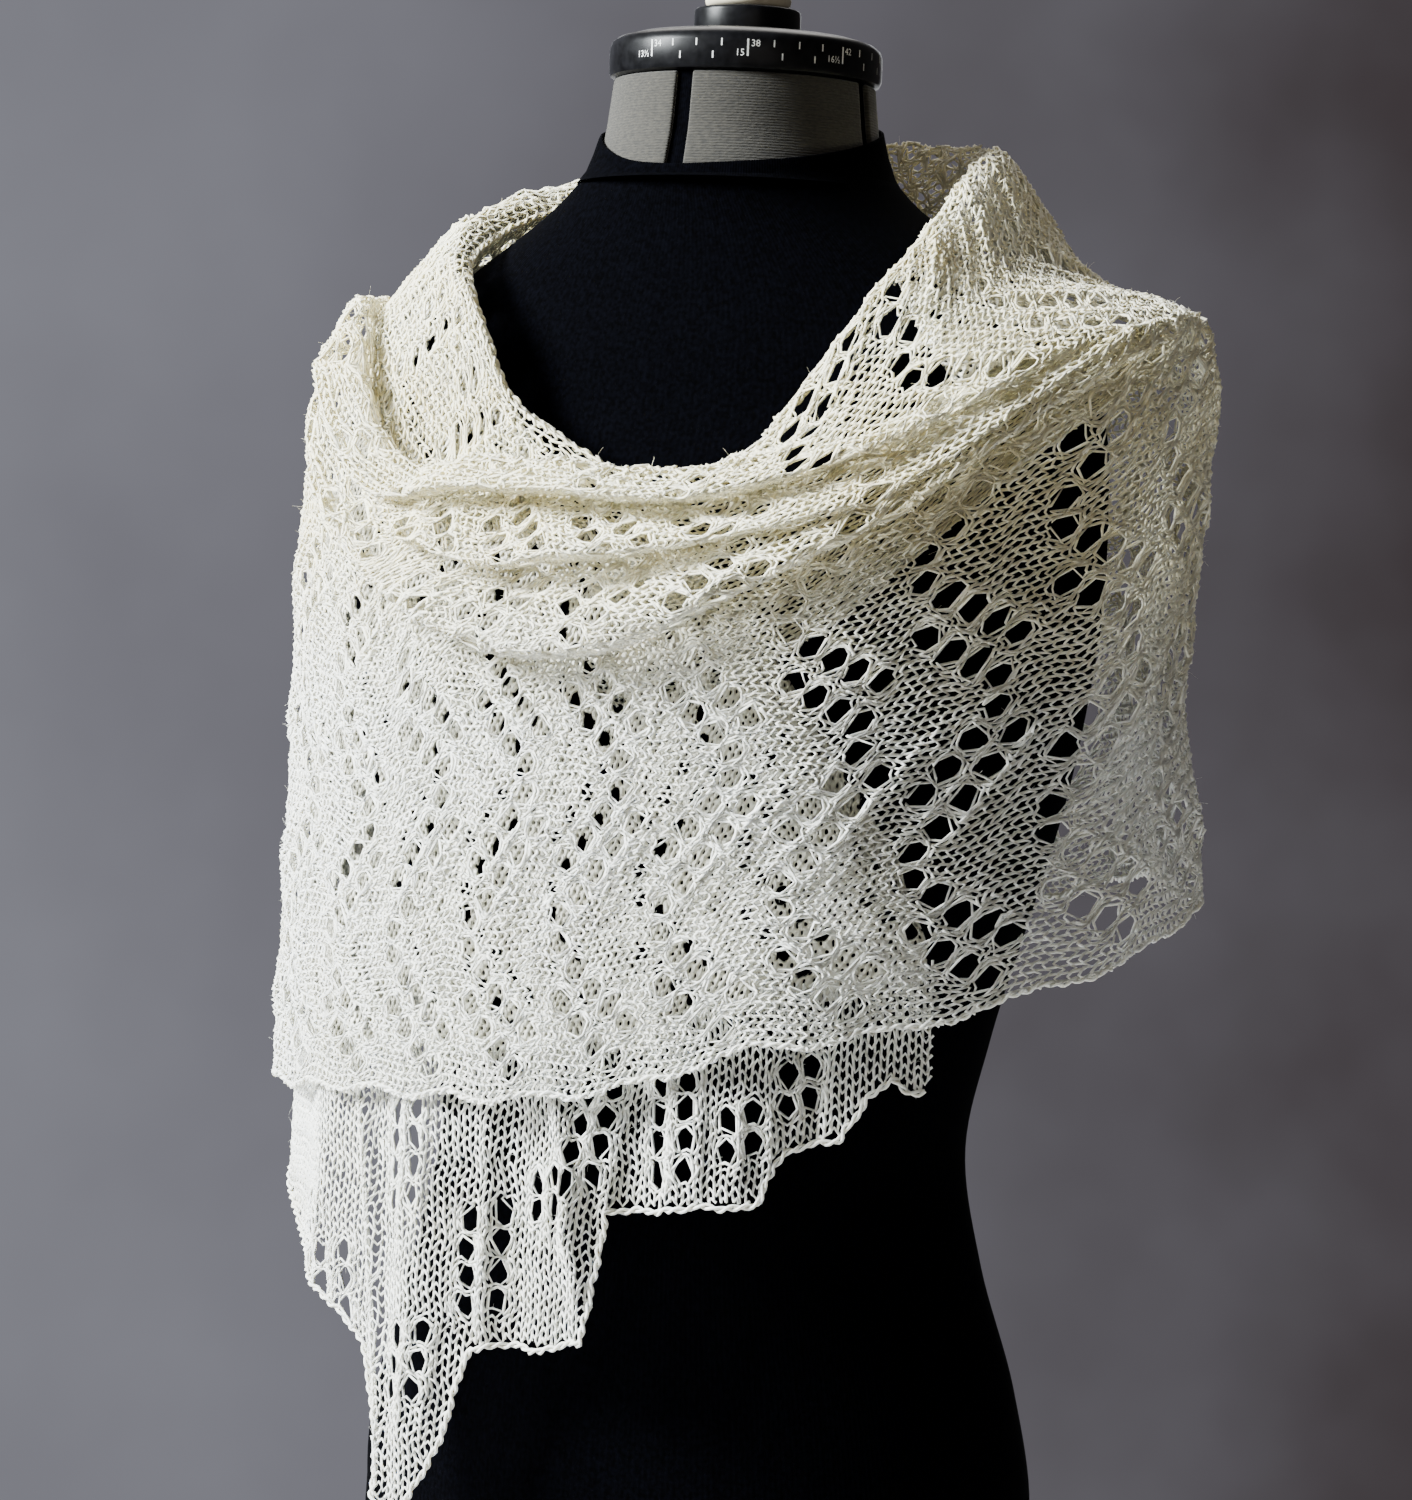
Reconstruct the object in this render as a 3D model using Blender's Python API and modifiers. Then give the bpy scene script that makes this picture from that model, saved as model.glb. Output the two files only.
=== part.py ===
"""Knitted lace stole wrapped round a limbless dress form that stands on a short pole and a round base.

Metres, +Z up, the form faces -Y and its left side is at +X. The origin is the middle of the base's
underside. An azimuth is counted round the upright axis from the front, positive towards +X.
"""

import math

import bmesh
import bpy
import numpy as np

MM = 0.001

# Cloth
WALL = 1.6 * MM  # thickness of the knitted cloth
SEAM = 0.3 * MM  # gap between two stretches of the same cloth
EYELET_REACH = 4.8 * MM  # from the middle of an eyelet to each of its four corners
EYELET_CLEAR = 9.0 * MM  # an eyelet is left out where its grid edges are shorter than this
COLUMN = 19.2 * MM  # width of a column of the wall's grid, four knitted courses
SEAM_COLUMN = 1.3  # degrees, the narrow column along each seam
SEAM_TURN = 0.16  # degrees between two stretches at a seam
UNDER_ROWS = 15  # rows of the hanging end that the outer stretch hides
MEAN_RADIUS = 185 * MM
REPEAT_COLUMNS = 4  # the lace repeat along the stole, in columns of the grid
REPEAT_ROWS = 6  # the lace repeat across the stole, in rows of the grid

# Below the shoulders the wound cloth hangs on two upright elliptic drums, one round the other.
DRUM_CENTRE = (6 * MM, 6 * MM)
INNER_DRUM = (201 * MM, 147 * MM)  # half width and half depth
OUTER_DRUM = (209 * MM, 155 * MM)

# Dress form
FORM_SIDES = 36
NECK_TOP_Z = 969 * MM
NECK_CURVE = ((57.5, 969), (60.3, 945))  # radius and height
POLE_RADIUS = 16 * MM
BASE_RADIUS = 165 * MM
BASE_HEIGHT = 22 * MM

# Sections from the upper edge down: edge, crest of the collar, slope, brow above the folds, foot of
# the folds, hem. The drum is 0 for the inner and 1 for the outer one, and the hem flares out from it.
SECTION_COLUMNS = (
    "azimuth", "edge_r", "edge_z", "crest_r", "crest_z", "slope_r", "slope_z",
    "brow_r", "brow_z", "foot_z", "hem_z", "flare", "drum",
)
# The outer stretch: over the left shoulder, across the front and round the right side.
WRAP_SECTIONS = (
    (-150, 149, 862, 151, 864, 155, 857, 161, 845, 778, 546, 3, 1),
    (-130, 157, 865, 159, 867, 164, 860, 172, 845, 776, 536, 2, 1),
    (-105, 165, 869, 167, 871, 173, 862, 181, 845, 772, 522, 2, 1),
    (-80, 166, 871, 168, 873, 174, 864, 182, 846, 772, 516, 3, 1),
    (-64, 165, 860, 168, 865, 173, 859, 179, 843, 770, 519, 2, 1),
    (-52, 164, 822, 166, 829, 168, 826, 172, 814, 760, 523, 2, 1),
    (-40, 152, 786, 154, 799, 157, 799, 163, 788, 740, 527, 2, 1),
    (-20, 134, 787, 138, 802, 143, 801, 149, 791, 717, 531, 1, 1),
    (0, 132, 790, 134, 805, 139, 804, 146, 796, 712, 536, 0, 1),
    (20, 128, 792, 132, 805, 140, 804, 151, 795, 717, 549, 0, 1),
    (32, 122, 812, 128, 818, 140, 812, 158, 801, 732, 563, 1, 1),
    (45, 119, 850, 127, 852, 144, 833, 168, 811, 757, 570, 2, 1),
    (60, 112, 893, 122, 898, 150, 866, 185, 834, 792, 581, 2, 0.9),
    (75, 94, 920, 108, 926, 149, 889, 196, 856, 826, 598, 3, 0.7),
    (90, 78, 931, 102, 939, 148, 903, 202, 869, 844, 612, 5, 0.5),
    (105, 71, 938, 103, 944, 146, 905, 199, 867, 838, 622, 7, 0.4),
    (120, 69, 944, 104, 946, 143, 902, 190, 859, 828, 626, 4, 0.4),
    (140, 63, 945, 92, 948, 128, 903, 170, 850, 815, 612, 2, 0.4),
)

# The inner stretch: from the left shoulder round the back and over the right shoulder.
INNER_SECTIONS = (
    (105, 71, 938, 103, 944, 146, 905, 199, 867, 838, 622, 7, 0.4),
    (120, 69, 944, 104, 946, 143, 902, 190, 859, 828, 626, 4, 0.4),
    (140, 63, 945, 92, 948, 128, 903, 170, 850, 815, 612, 2, 0.4),
    (165, 61.8, 944, 80, 948, 112, 908, 149, 848, 800, 592, 2, 0.3),
    (190, 61.8, 942, 80, 945, 112, 907, 147, 846, 796, 578, 2, 0.1),
    (215, 68, 940, 88, 941, 120, 904, 155, 842, 792, 566, 1, 0),
    (235, 72, 933, 98, 935, 130, 900, 166, 842, 788, 552, 0, 0),
    (250, 80, 925, 104, 929, 141, 895, 172, 848, 784, 530, 0, 0),
    (270, 92, 914, 112, 921, 148, 890, 177, 847, 780, 500, 0, 0),
    (290, 107, 899, 122, 905, 149, 881, 173, 846, 776, 452, 0, 0),
    (310, 118, 880, 126, 883, 141, 857, 158, 818, 760, 411, 0, 0),
    (322, 120, 862, 125, 865, 132, 842, 142, 808, 742, 372, 0, 0),
    (335, 118, 827, 122, 829, 126, 818, 131, 798, 722, 380, 0, 0),
    (350, 116, 809, 119, 811, 122, 804, 127, 790, 716, 430, 0, 0),
    (370, 117, 786, 119, 788, 123, 782, 129, 770, 716, 455, 0, 0),
    (390, 135, 744, 136, 746, 138, 741, 142, 728, 692, 490, 0, 0),
    (405, 145, 692, 146, 694, 148, 689, 152, 677, 650, 528, 0, 0),
    (417, 156, 642, 157, 644, 160, 639, 164, 632, 612, 556, 0, 0),
)

# Rolls that run along the folded band: where they lie between brow (0) and foot (1) at both ends and
# in the middle, the azimuths between which they show, how far they stand out and their half width.
ROLL_COLUMNS = ("start", "end", "at_start", "at_middle", "at_end", "lift", "half_width")
ROLLS = (
    (-75, 96, 0.04, 0.03, 0.05, 9, 0.15),
    (-52, 92, 0.46, 0.42, 0.42, 10, 0.12),
    (-57, 94, 0.72, 0.84, 0.80, 17, 0.17),
    (-150, -84, 0.30, 0.34, 0.30, 5, 0.22),
)
ROLL_DROOP = 0.45  # share of a roll's lift by which its ridge also sags
FULL_ROLL_BAND = 72 * MM  # height of the folded band at which the rolls have their full lift

# Soft upright folds: azimuth, half width in degrees, lift at the foot of the band and at the hem.
DRAPE_COLUMNS = ("azimuth", "half_width", "lift_top", "lift_hem")
WRAP_DRAPES = (
    (-118, 7, 2, 6),
    (-94, 6, 2, 5),
    (-70, 5, 1, 4),
    (-8, 10, 0, 3),
    (38, 9, 1, 4),
    (78, 7, 3, 6),
    (101, 6, 2, 9),
    (108, 15, -15, -4),
)
INNER_DRAPES = (
    (108, 15, -15, -4),
    (134, 6, 3, 7),
    (152, 7, 2, 6),
    (173, 6, 3, 8),
    (196, 7, 2, 6),
    (219, 6, 2, 7),
    (240, 6, 1, 4),
    (283, 7, 0, 6),
    (308, 6, 0, 7),
    (334, 7, 0, 9),
    (352, 5, 0, -8),
    (371, 6, 0, -5),
    (391, 6, 0, 5),
)

# Lower outline of the hanging end, which leaves the hem: the long edge comes down to the lowest point, then the stepped
# short edge climbs to the front.
END_OUTLINE_COLUMNS = ("azimuth", "z")
END_OUTLINE = (
    (250, 530), (270, 500), (288, 456), (299, 432), (310, 411), (318, 384), (325, 356), (331, 352), (336, 358),
    (341, 401), (345, 425), (355, 433),
    (366, 441), (370, 480), (375, 494), (384, 496), (393, 500), (399, 522), (406, 532), (411, 552),
    (417, 549),
)
# Steps of the other short edge, at the end of the outer stretch, as shares of its width.
WRAP_END_STEP = 7.0  # degrees
WRAP_END_STEPS = 5

FORM_COLUMNS = ("z", "half_width", "half_depth", "centre_y")
FORM_SECTIONS = (
    (290, 140, 100, 4), (300, 150, 108, 4), (340, 157, 114, 4), (400, 148, 109, 2), (455, 131, 100, -1),
    (505, 122, 95, -2), (555, 132, 98, -3), (620, 152, 106, -6), (665, 165, 111, -8), (700, 172, 113, -9),
    (740, 177, 110, -7), (790, 177, 101, -3), (825, 173, 92, 1), (850, 164, 87, 2), (872, 145, 81, 4),
    (890, 120, 76, 4), (905, 97, 71, 3), (917, 80, 68, 1), (927, 70, 65, 0),
)


def table(rows, columns):
    """A table of rows as one array for each named column."""
    return {name: np.array(values, float) for name, values in zip(columns, zip(*rows))}


def smooth(x, stations, values):
    """A smooth curve through the values at the stations, read at x."""
    slopes = np.gradient(values, stations)
    i = np.clip(np.searchsorted(stations, x) - 1, 0, len(stations) - 2)
    step = stations[i + 1] - stations[i]
    t = np.clip((x - stations[i]) / step, 0, 1)
    return (
        values[i] * (2 * t**3 - 3 * t**2 + 1)
        + values[i + 1] * (3 * t**2 - 2 * t**3)
        + slopes[i] * step * (t**3 - 2 * t**2 + t)
        + slopes[i + 1] * step * (t**3 - t**2)
    )


def bump(distance):
    """A soft ridge of height 1 that has died away at a distance of 2."""
    return np.exp(-(distance**2))


def fade(x, start, end, soft):
    """1 between start and end, falling softly to 0 just outside them."""
    rise = 1 / (1 + np.exp(-(x - start) / soft))
    fall = 1 / (1 + np.exp((x - end) / soft))
    return rise * fall


def drum_radius(azimuth, half_width, half_depth):
    """Distance from the axis to an elliptic drum round DRUM_CENTRE."""
    s, c = np.sin(np.radians(azimuth)), -np.cos(np.radians(azimuth))
    x, y = DRUM_CENTRE
    a = (s / half_width) ** 2 + (c / half_depth) ** 2
    b = -2 * (s * x / half_width**2 + c * y / half_depth**2)
    k = (x / half_width) ** 2 + (y / half_depth) ** 2 - 1
    return (-b + np.sqrt(b * b - 4 * a * k)) / (2 * a)


class Stretch:
    """One stretch of the wound cloth: a point for each azimuth and each level from edge (0) to hem (6).

    Levels: 0 edge, 1 crest, 2 slope, 3 brow, 4 foot of the folds, 6 hem.
    """

    def __init__(self, sections, drapes, rolls=(), outline=None):
        self.sections = table(sections, SECTION_COLUMNS)
        self.drapes = table(drapes, DRAPE_COLUMNS)
        self.rolls = [dict(zip(ROLL_COLUMNS, row)) for row in rolls]
        self.outline = outline and table(outline, END_OUTLINE_COLUMNS)

    def column(self, name, azimuth, unit=MM):
        return smooth(azimuth, self.sections["azimuth"], self.sections[name]) * unit

    def controls(self, azimuth):
        """The seven (radius, height) points of the profile at each azimuth."""
        inner, outer = drum_radius(azimuth, *INNER_DRUM), drum_radius(azimuth, *OUTER_DRUM)
        drum = inner + (outer - inner) * self.column("drum", azimuth, 1)
        flare = self.column("flare", azimuth)
        foot_z, hem_z = self.column("foot_z", azimuth), self.column("hem_z", azimuth)
        pairs = [
            (self.column(f"{name}_r", azimuth), self.column(f"{name}_z", azimuth))
            for name in ("edge", "crest", "slope", "brow")
        ]
        pairs.append((drum, foot_z))
        pairs.append((drum + 0.3 * flare, (foot_z + hem_z) / 2))
        pairs.append((drum + flare, hem_z))
        return np.array([np.stack(pair, -1) for pair in pairs])

    def profile(self, azimuth, level):
        """(radius, height) at each azimuth and level, before rolls and drapes."""
        points = self.controls(azimuth)
        i = np.clip(level.astype(int), 0, 5)
        t = (level - i)[:, None]
        each = np.arange(len(azimuth))
        before, here = points[np.maximum(i - 1, 0), each], points[i, each]
        after, beyond = points[i + 1, each], points[np.minimum(i + 2, 6), each]
        out = (after - before) / 2
        into = (beyond - here) / 2
        return (
            here * (2 * t**3 - 3 * t**2 + 1)
            + after * (3 * t**2 - 2 * t**3)
            + out * (t**3 - 2 * t**2 + t)
            + into * (t**3 - t**2)
        )

    def outward(self, azimuth, level):
        """The profile's outward direction, in radius and height."""
        step = 0.02
        along = self.profile(azimuth, np.minimum(level + step, 6)) - self.profile(
            azimuth, np.maximum(level - step, 0)
        )
        along /= np.linalg.norm(along, axis=1)[:, None]
        return np.stack([-along[:, 1], along[:, 0]], -1)

    def roll_lift(self, azimuth, level):
        """How far the rolls lift the cloth."""
        band = self.column("brow_z", azimuth) - self.column("foot_z", azimuth)
        size = np.clip(band / FULL_ROLL_BAND, 0.3, 1)
        lift = np.zeros_like(azimuth)
        for roll in self.rolls:
            middle = (roll["start"] + roll["end"]) / 2
            stations = np.array([roll["start"], middle, roll["end"]])
            at = 3 + np.interp(azimuth, stations, [roll["at_start"], roll["at_middle"], roll["at_end"]])
            shown = fade(azimuth, roll["start"], roll["end"], 4.0)
            lift += roll["lift"] * MM * size * shown * bump((level - at) / roll["half_width"])
        return lift

    def drape_lift(self, azimuth, level):
        """How far the soft upright folds lift the cloth."""
        down = np.clip((level - 3.6) / 2.4, 0, 1)
        lift = np.zeros_like(azimuth)
        for place, half_width, top, hem in zip(*self.drapes.values()):
            high = (top + (hem - top) * down) * np.clip((level - 2.4) / 1.2, 0, 1)
            lift += high * MM * bump((azimuth - place) / half_width)
        return lift

    def points(self, azimuth, level):
        """The cloth's outer surface as x, y, z for each azimuth and level."""
        azimuth, level = np.asarray(azimuth, float), np.asarray(level, float)
        place = self.profile(azimuth, level)
        roll = self.roll_lift(azimuth, level)
        place = place + self.outward(azimuth, level) * (roll + self.drape_lift(azimuth, level))[:, None]
        place[:, 1] -= ROLL_DROOP * roll
        if self.outline:
            stations = self.outline["azimuth"]
            below_hem = self.outline["z"] * MM - self.column("hem_z", stations)
            share = np.clip((level - 4.6) / 1.4, 0, 1) ** 2
            place[:, 1] += share * np.interp(azimuth, stations, below_hem, left=0)
        turn = np.radians(azimuth)
        return np.stack(
            [place[:, 0] * np.sin(turn), -place[:, 0] * np.cos(turn), place[:, 1]], -1
        )


WRAP = Stretch(WRAP_SECTIONS, WRAP_DRAPES, rolls=ROLLS)
INNER = Stretch(INNER_SECTIONS, INNER_DRAPES, outline=END_OUTLINE)


def levels(collar_rows, fold_rows, drum_rows):
    """Levels of the grid's rows: through the collar, the folded band and the drum."""
    collar = np.linspace(0, 3, collar_rows + 1)[:-1]
    band = np.linspace(3, 4, fold_rows + 1)[:-1]
    return np.concatenate([collar, band, np.linspace(4, 6, drum_rows + 1)])


def is_eyelet(column, row_from_hem):
    """Whether the lace has an eyelet here: arrowheads that point along the stole, band above band."""
    across = row_from_hem % REPEAT_ROWS
    from_middle = min(across, REPEAT_ROWS - 1 - across)  # 0 at the band's border, 2 at its middle
    along = (column - from_middle) % REPEAT_COLUMNS
    return along == 0 and from_middle > 0 or along == 2 and from_middle == 1


def new_object(name, mesh, material, collection):
    mesh.materials.append(material)
    made = bpy.data.objects.new(name, mesh)
    collection.objects.link(made)
    return made


def cloth_wall(name, stretch, azimuths, rows, material, collection, end_steps=False, first_eyelet_row=1):
    """A wall through the stretch's points at these azimuths and levels, with its eyelets cut through."""
    across, down = len(azimuths) - 1, len(rows) - 1
    bm = bmesh.new()
    bmesh.ops.create_grid(bm, x_segments=across, y_segments=down, size=0.5)
    column = np.array([round((v.co.x + 0.5) * across) for v in bm.verts])
    row = np.array([round((0.5 - v.co.y) * down) for v in bm.verts])
    turn, level = azimuths[column], rows[row]
    if end_steps:
        share = column / across
        step = np.abs((level / 6 * WRAP_END_STEPS) % 1 - 0.5) * 2
        turn = turn + WRAP_END_STEP * (1 - step) * share**4 * np.sign(azimuths[-1] - azimuths[0])
    for vertex, place in zip(bm.verts, stretch.points(turn, level)):
        vertex.co = place
    if azimuths[-1] < azimuths[0]:
        bmesh.ops.reverse_faces(bm, faces=bm.faces)
    holes = [
        v
        for v, c, r in zip(bm.verts, column, row)
        if 0 < c < across
        and first_eyelet_row <= r < down
        and is_eyelet(c, down - r)
        and min(e.calc_length() for e in v.link_edges) > EYELET_CLEAR
    ]
    cut = bmesh.ops.bevel(
        bm, geom=holes, offset=EYELET_REACH, offset_type="OFFSET", segments=1, affect="VERTICES"
    )
    bmesh.ops.delete(bm, geom=cut["faces"], context="FACES_ONLY")
    mesh = bpy.data.meshes.new(name)
    bm.to_mesh(mesh)
    bm.free()
    mesh.shade_smooth()
    wall = new_object(name, mesh, material, collection)
    thicken = wall.modifiers.new("Knitted wall", "SOLIDIFY")
    thicken.thickness = WALL
    thicken.offset = -1
    return wall


def stretch_azimuths(start, end, column_width):
    """Azimuths from start to end, half a seam inside each, with a narrow column along each seam."""
    turn = 1 if end > start else -1
    first, last = start + turn * SEAM_TURN / 2, end - turn * SEAM_TURN / 2
    width = abs(math.radians(end - start)) * MEAN_RADIUS
    columns = max(3, round(width / column_width))
    between = np.linspace(first + turn * SEAM_COLUMN, last - turn * SEAM_COLUMN, columns + 1)
    return np.concatenate([[first], between, [last]])


def shawl(material, collection):
    """The stole, one wall for each stretch that shows."""
    wrap_rows = levels(5, 11, 12)
    for name, start, end in (
        ("shawl_left_shoulder", 117, 57),
        ("shawl_front", 57, -66),
        ("shawl_wrap_end", -66, -140),
    ):
        cloth_wall(
            name, WRAP, stretch_azimuths(start, end, COLUMN), wrap_rows, material, collection,
            end_steps=name == "shawl_wrap_end",
        )
    back_rows = levels(5, 4, 12)
    for name, start, end in (("shawl_back_left", 117, 184), ("shawl_back_right", 184, 250)):
        cloth_wall(
            name, INNER, stretch_azimuths(start, end, COLUMN), back_rows, material, collection
        )
    steps = [step for step, low in END_OUTLINE[1:-1]]
    hanging = np.array([250 + SEAM_TURN / 2, 250 + SEAM_COLUMN, 260, *steps, 417])
    cloth_wall(
        "shawl_hanging_end", INNER, hanging, levels(5, 3, 16), material, collection,
        first_eyelet_row=UNDER_ROWS,
    )


def ring_loft(name, rings, material, collection):
    """A closed solid through rings of the same number of points, capped at both ends."""
    bm = bmesh.new()
    loops = []
    for ring in rings:
        corners = [bm.verts.new(place) for place in ring]
        loops.append([bm.edges.new((a, b)) for a, b in zip(corners, corners[1:] + corners[:1])])
    for lower, upper in zip(loops, loops[1:]):
        bmesh.ops.bridge_loops(bm, edges=lower + upper)
    bmesh.ops.contextual_create(bm, geom=loops[0])
    bmesh.ops.contextual_create(bm, geom=loops[-1])
    bmesh.ops.recalc_face_normals(bm, faces=bm.faces)
    mesh = bpy.data.meshes.new(name)
    bm.to_mesh(mesh)
    bm.free()
    mesh.shade_smooth()
    mesh.set_sharp_from_angle(angle=math.radians(40))
    return new_object(name, mesh, material, collection)


def ellipse_ring(z, half_width, half_depth, centre_y, sides=FORM_SIDES):
    turns = [2 * math.pi * i / sides for i in range(sides)]
    return [(half_width * math.sin(t), centre_y - half_depth * math.cos(t), z) for t in turns]


def form_torso(material, collection):
    rings = [ellipse_ring(*(value * MM for value in row)) for row in FORM_SECTIONS]
    return ring_loft("form_torso", rings, material, collection)


def turned(name, profile, material, collection, steps=32):
    """A solid turned round the axis from (radius, height) points, from the top down."""
    mesh = bpy.data.meshes.new(name)
    places = [(r, 0, z) for r, z in profile]
    mesh.from_pydata(places, [(i, i + 1) for i in range(len(places) - 1)], [])
    made = new_object(name, mesh, material, collection)
    spin = made.modifiers.new("Turned", "SCREW")
    spin.steps = spin.render_steps = steps
    spin.use_merge_vertices = True
    spin.merge_threshold = 0.00005
    spin.use_smooth_shade = False
    return made


def form_neck(material, collection):
    base = FORM_SECTIONS[-1]
    low = base[0] * MM + SEAM
    return turned(
        "form_neck",
        [(0, NECK_TOP_Z), *((radius * MM, z * MM) for radius, z in NECK_CURVE), (65 * MM, low), (0, low)],
        material,
        collection,
    )


def neck_cap(dial_material, collar_material, collection):
    """The round dial on top of the neck, and the small collar and knob above it."""
    low = NECK_TOP_Z + SEAM
    dial_top = low + 20 * MM
    turned(
        "form_neck_dial",
        [(0, dial_top), (46 * MM, dial_top), (54 * MM, dial_top - 2 * MM), (59.5 * MM, dial_top - 8 * MM),
         (60 * MM, low + 2 * MM), (58 * MM, low), (0, low)],
        dial_material,
        collection,
    )
    turned(
        "form_cap_ring",
        [(0, dial_top + 13 * MM), (22 * MM, dial_top + 13 * MM), (23.5 * MM, dial_top + 11 * MM),
         (23.5 * MM, dial_top + SEAM), (0, dial_top + SEAM)],
        dial_material,
        collection,
    )
    turned(
        "form_cap_knob",
        [(0, dial_top + 27 * MM), (14 * MM, dial_top + 25 * MM), (19 * MM, dial_top + 20 * MM),
         (19 * MM, dial_top + 13 * MM + SEAM), (0, dial_top + 13 * MM + SEAM)],
        collar_material,
        collection,
    )


def stand(metal, plastic, collection):
    """A round base, a pole into the underside of the form and a clamping collar at its top."""
    torso_low = FORM_SECTIONS[0][0] * MM
    turned(
        "stand_base",
        [(0, BASE_HEIGHT), (26 * MM, BASE_HEIGHT), (BASE_RADIUS - 20 * MM, 10 * MM),
         (BASE_RADIUS - 3 * MM, 7 * MM), (BASE_RADIUS, 4 * MM), (BASE_RADIUS, 0), (0, 0)],
        plastic,
        collection,
        steps=40,
    )
    turned(
        "stand_pole",
        [(0, torso_low - SEAM), (POLE_RADIUS, torso_low - SEAM), (POLE_RADIUS, BASE_HEIGHT + SEAM),
         (0, BASE_HEIGHT + SEAM)],
        metal,
        collection,
        steps=24,
    )


def plain_material(name, colour, roughness, metallic=0.0):
    made = bpy.data.materials.new(name)
    made.use_nodes = True
    shader = made.node_tree.nodes["Principled BSDF"]
    shader.inputs["Base Color"].default_value = (*colour, 1)
    shader.inputs["Roughness"].default_value = roughness
    shader.inputs["Metallic"].default_value = metallic
    return made


def main():
    for old in list(bpy.data.objects):
        bpy.data.objects.remove(old)
    parts = bpy.data.collections.new("Lace shawl on a dress form")
    bpy.context.scene.collection.children.link(parts)
    yarn = plain_material("Cream lace yarn", (0.80, 0.76, 0.64), 0.85)
    jersey = plain_material("Black jersey cover", (0.012, 0.012, 0.016), 0.9)
    linen = plain_material("Beige neck cover", (0.42, 0.37, 0.27), 0.9)
    plastic = plain_material("Black plastic", (0.015, 0.015, 0.017), 0.35)
    knob = plain_material("Cream plastic", (0.62, 0.57, 0.45), 0.5)
    metal = plain_material("Brushed steel", (0.6, 0.6, 0.6), 0.35, 1.0)
    form_torso(jersey, parts)
    form_neck(linen, parts)
    neck_cap(plastic, knob, parts)
    stand(metal, plastic, parts)
    shawl(yarn, parts)


main()
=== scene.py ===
# Knitted lace stole on a limbless dress form. Metres, +Z up; the form faces -Y, its left is +X.
# An azimuth is counted round the upright axis from the front, positive towards +X.
import math

import bmesh
import bpy
import numpy as np
from mathutils import Matrix, Vector


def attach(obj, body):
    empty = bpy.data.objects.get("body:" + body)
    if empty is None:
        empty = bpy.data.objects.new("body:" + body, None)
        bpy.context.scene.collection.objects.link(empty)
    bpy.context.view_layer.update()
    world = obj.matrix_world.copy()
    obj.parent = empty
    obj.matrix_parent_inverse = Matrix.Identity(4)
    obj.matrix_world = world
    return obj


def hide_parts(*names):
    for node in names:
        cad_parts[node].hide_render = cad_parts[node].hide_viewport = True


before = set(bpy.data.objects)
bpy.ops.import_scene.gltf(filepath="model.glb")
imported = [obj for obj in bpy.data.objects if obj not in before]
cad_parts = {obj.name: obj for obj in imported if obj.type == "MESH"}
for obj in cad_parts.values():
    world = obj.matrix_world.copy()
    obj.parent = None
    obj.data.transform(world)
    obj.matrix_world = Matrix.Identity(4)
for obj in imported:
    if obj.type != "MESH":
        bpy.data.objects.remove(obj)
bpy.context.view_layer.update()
mm = 0.001
print("scene: frame loaded")

camera = {
    "azimuth": 27.0,  # degrees round from the form's front
    "distance": 1.75,
    "height": 0.78,
    "pitch": 3.4258,  # degrees downwards
    "yaw": -0.177,
    "roll": 2.3,  # the photo leans clockwise
    "lens": 94.6,
}


def makeCamera():
    turn = math.radians(camera["azimuth"])
    back = Vector((math.sin(turn), -math.cos(turn), 0))
    right, up, forward = Vector((math.cos(turn), math.sin(turn), 0)), Vector((0, 0, 1)), -back
    yaw, pitch, roll = (math.radians(camera[name]) for name in ("yaw", "pitch", "roll"))
    forward, right = (
        math.cos(yaw) * forward + math.sin(yaw) * right,
        math.cos(yaw) * right - math.sin(yaw) * forward,
    )
    forward, up = (
        math.cos(pitch) * forward - math.sin(pitch) * up,
        math.cos(pitch) * up + math.sin(pitch) * forward,
    )
    right, up = (
        math.cos(roll) * right + math.sin(roll) * up,
        math.cos(roll) * up - math.sin(roll) * right,
    )
    eye = back * camera["distance"] + Vector((0, 0, camera["height"]))
    data = bpy.data.cameras.new("view")
    data.sensor_width, data.sensor_fit, data.lens = 36, "AUTO", camera["lens"]
    made = bpy.data.objects.new("view", data)
    made.matrix_world = Matrix(
        [[right[i], up[i], -forward[i], eye[i]] for i in range(3)] + [[0, 0, 0, 1]]
    )
    bpy.context.scene.collection.objects.link(made)
    bpy.context.scene.camera = made


# Materials

class Wire:  # a number in a shader tree that can be used in a Python expression
    def __init__(self, paint, socket):
        self.paint, self.socket = paint, socket

    def calc(self, operation, *others, **settings):
        values = dict(enumerate((self, *others)))
        return self.paint.node("ShaderNodeMath", {"operation": operation, **settings}, values)

    def __add__(self, other):
        return self.calc("ADD", other)

    def __sub__(self, other):
        return self.calc("SUBTRACT", other)

    def __rsub__(self, other):
        return self.calc("MULTIPLY_ADD", -1.0, other)

    def __mul__(self, other):
        return self.calc("MULTIPLY", other)

    def clamped(self):
        return self.calc("ADD", 0.0, use_clamp=True)


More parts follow.
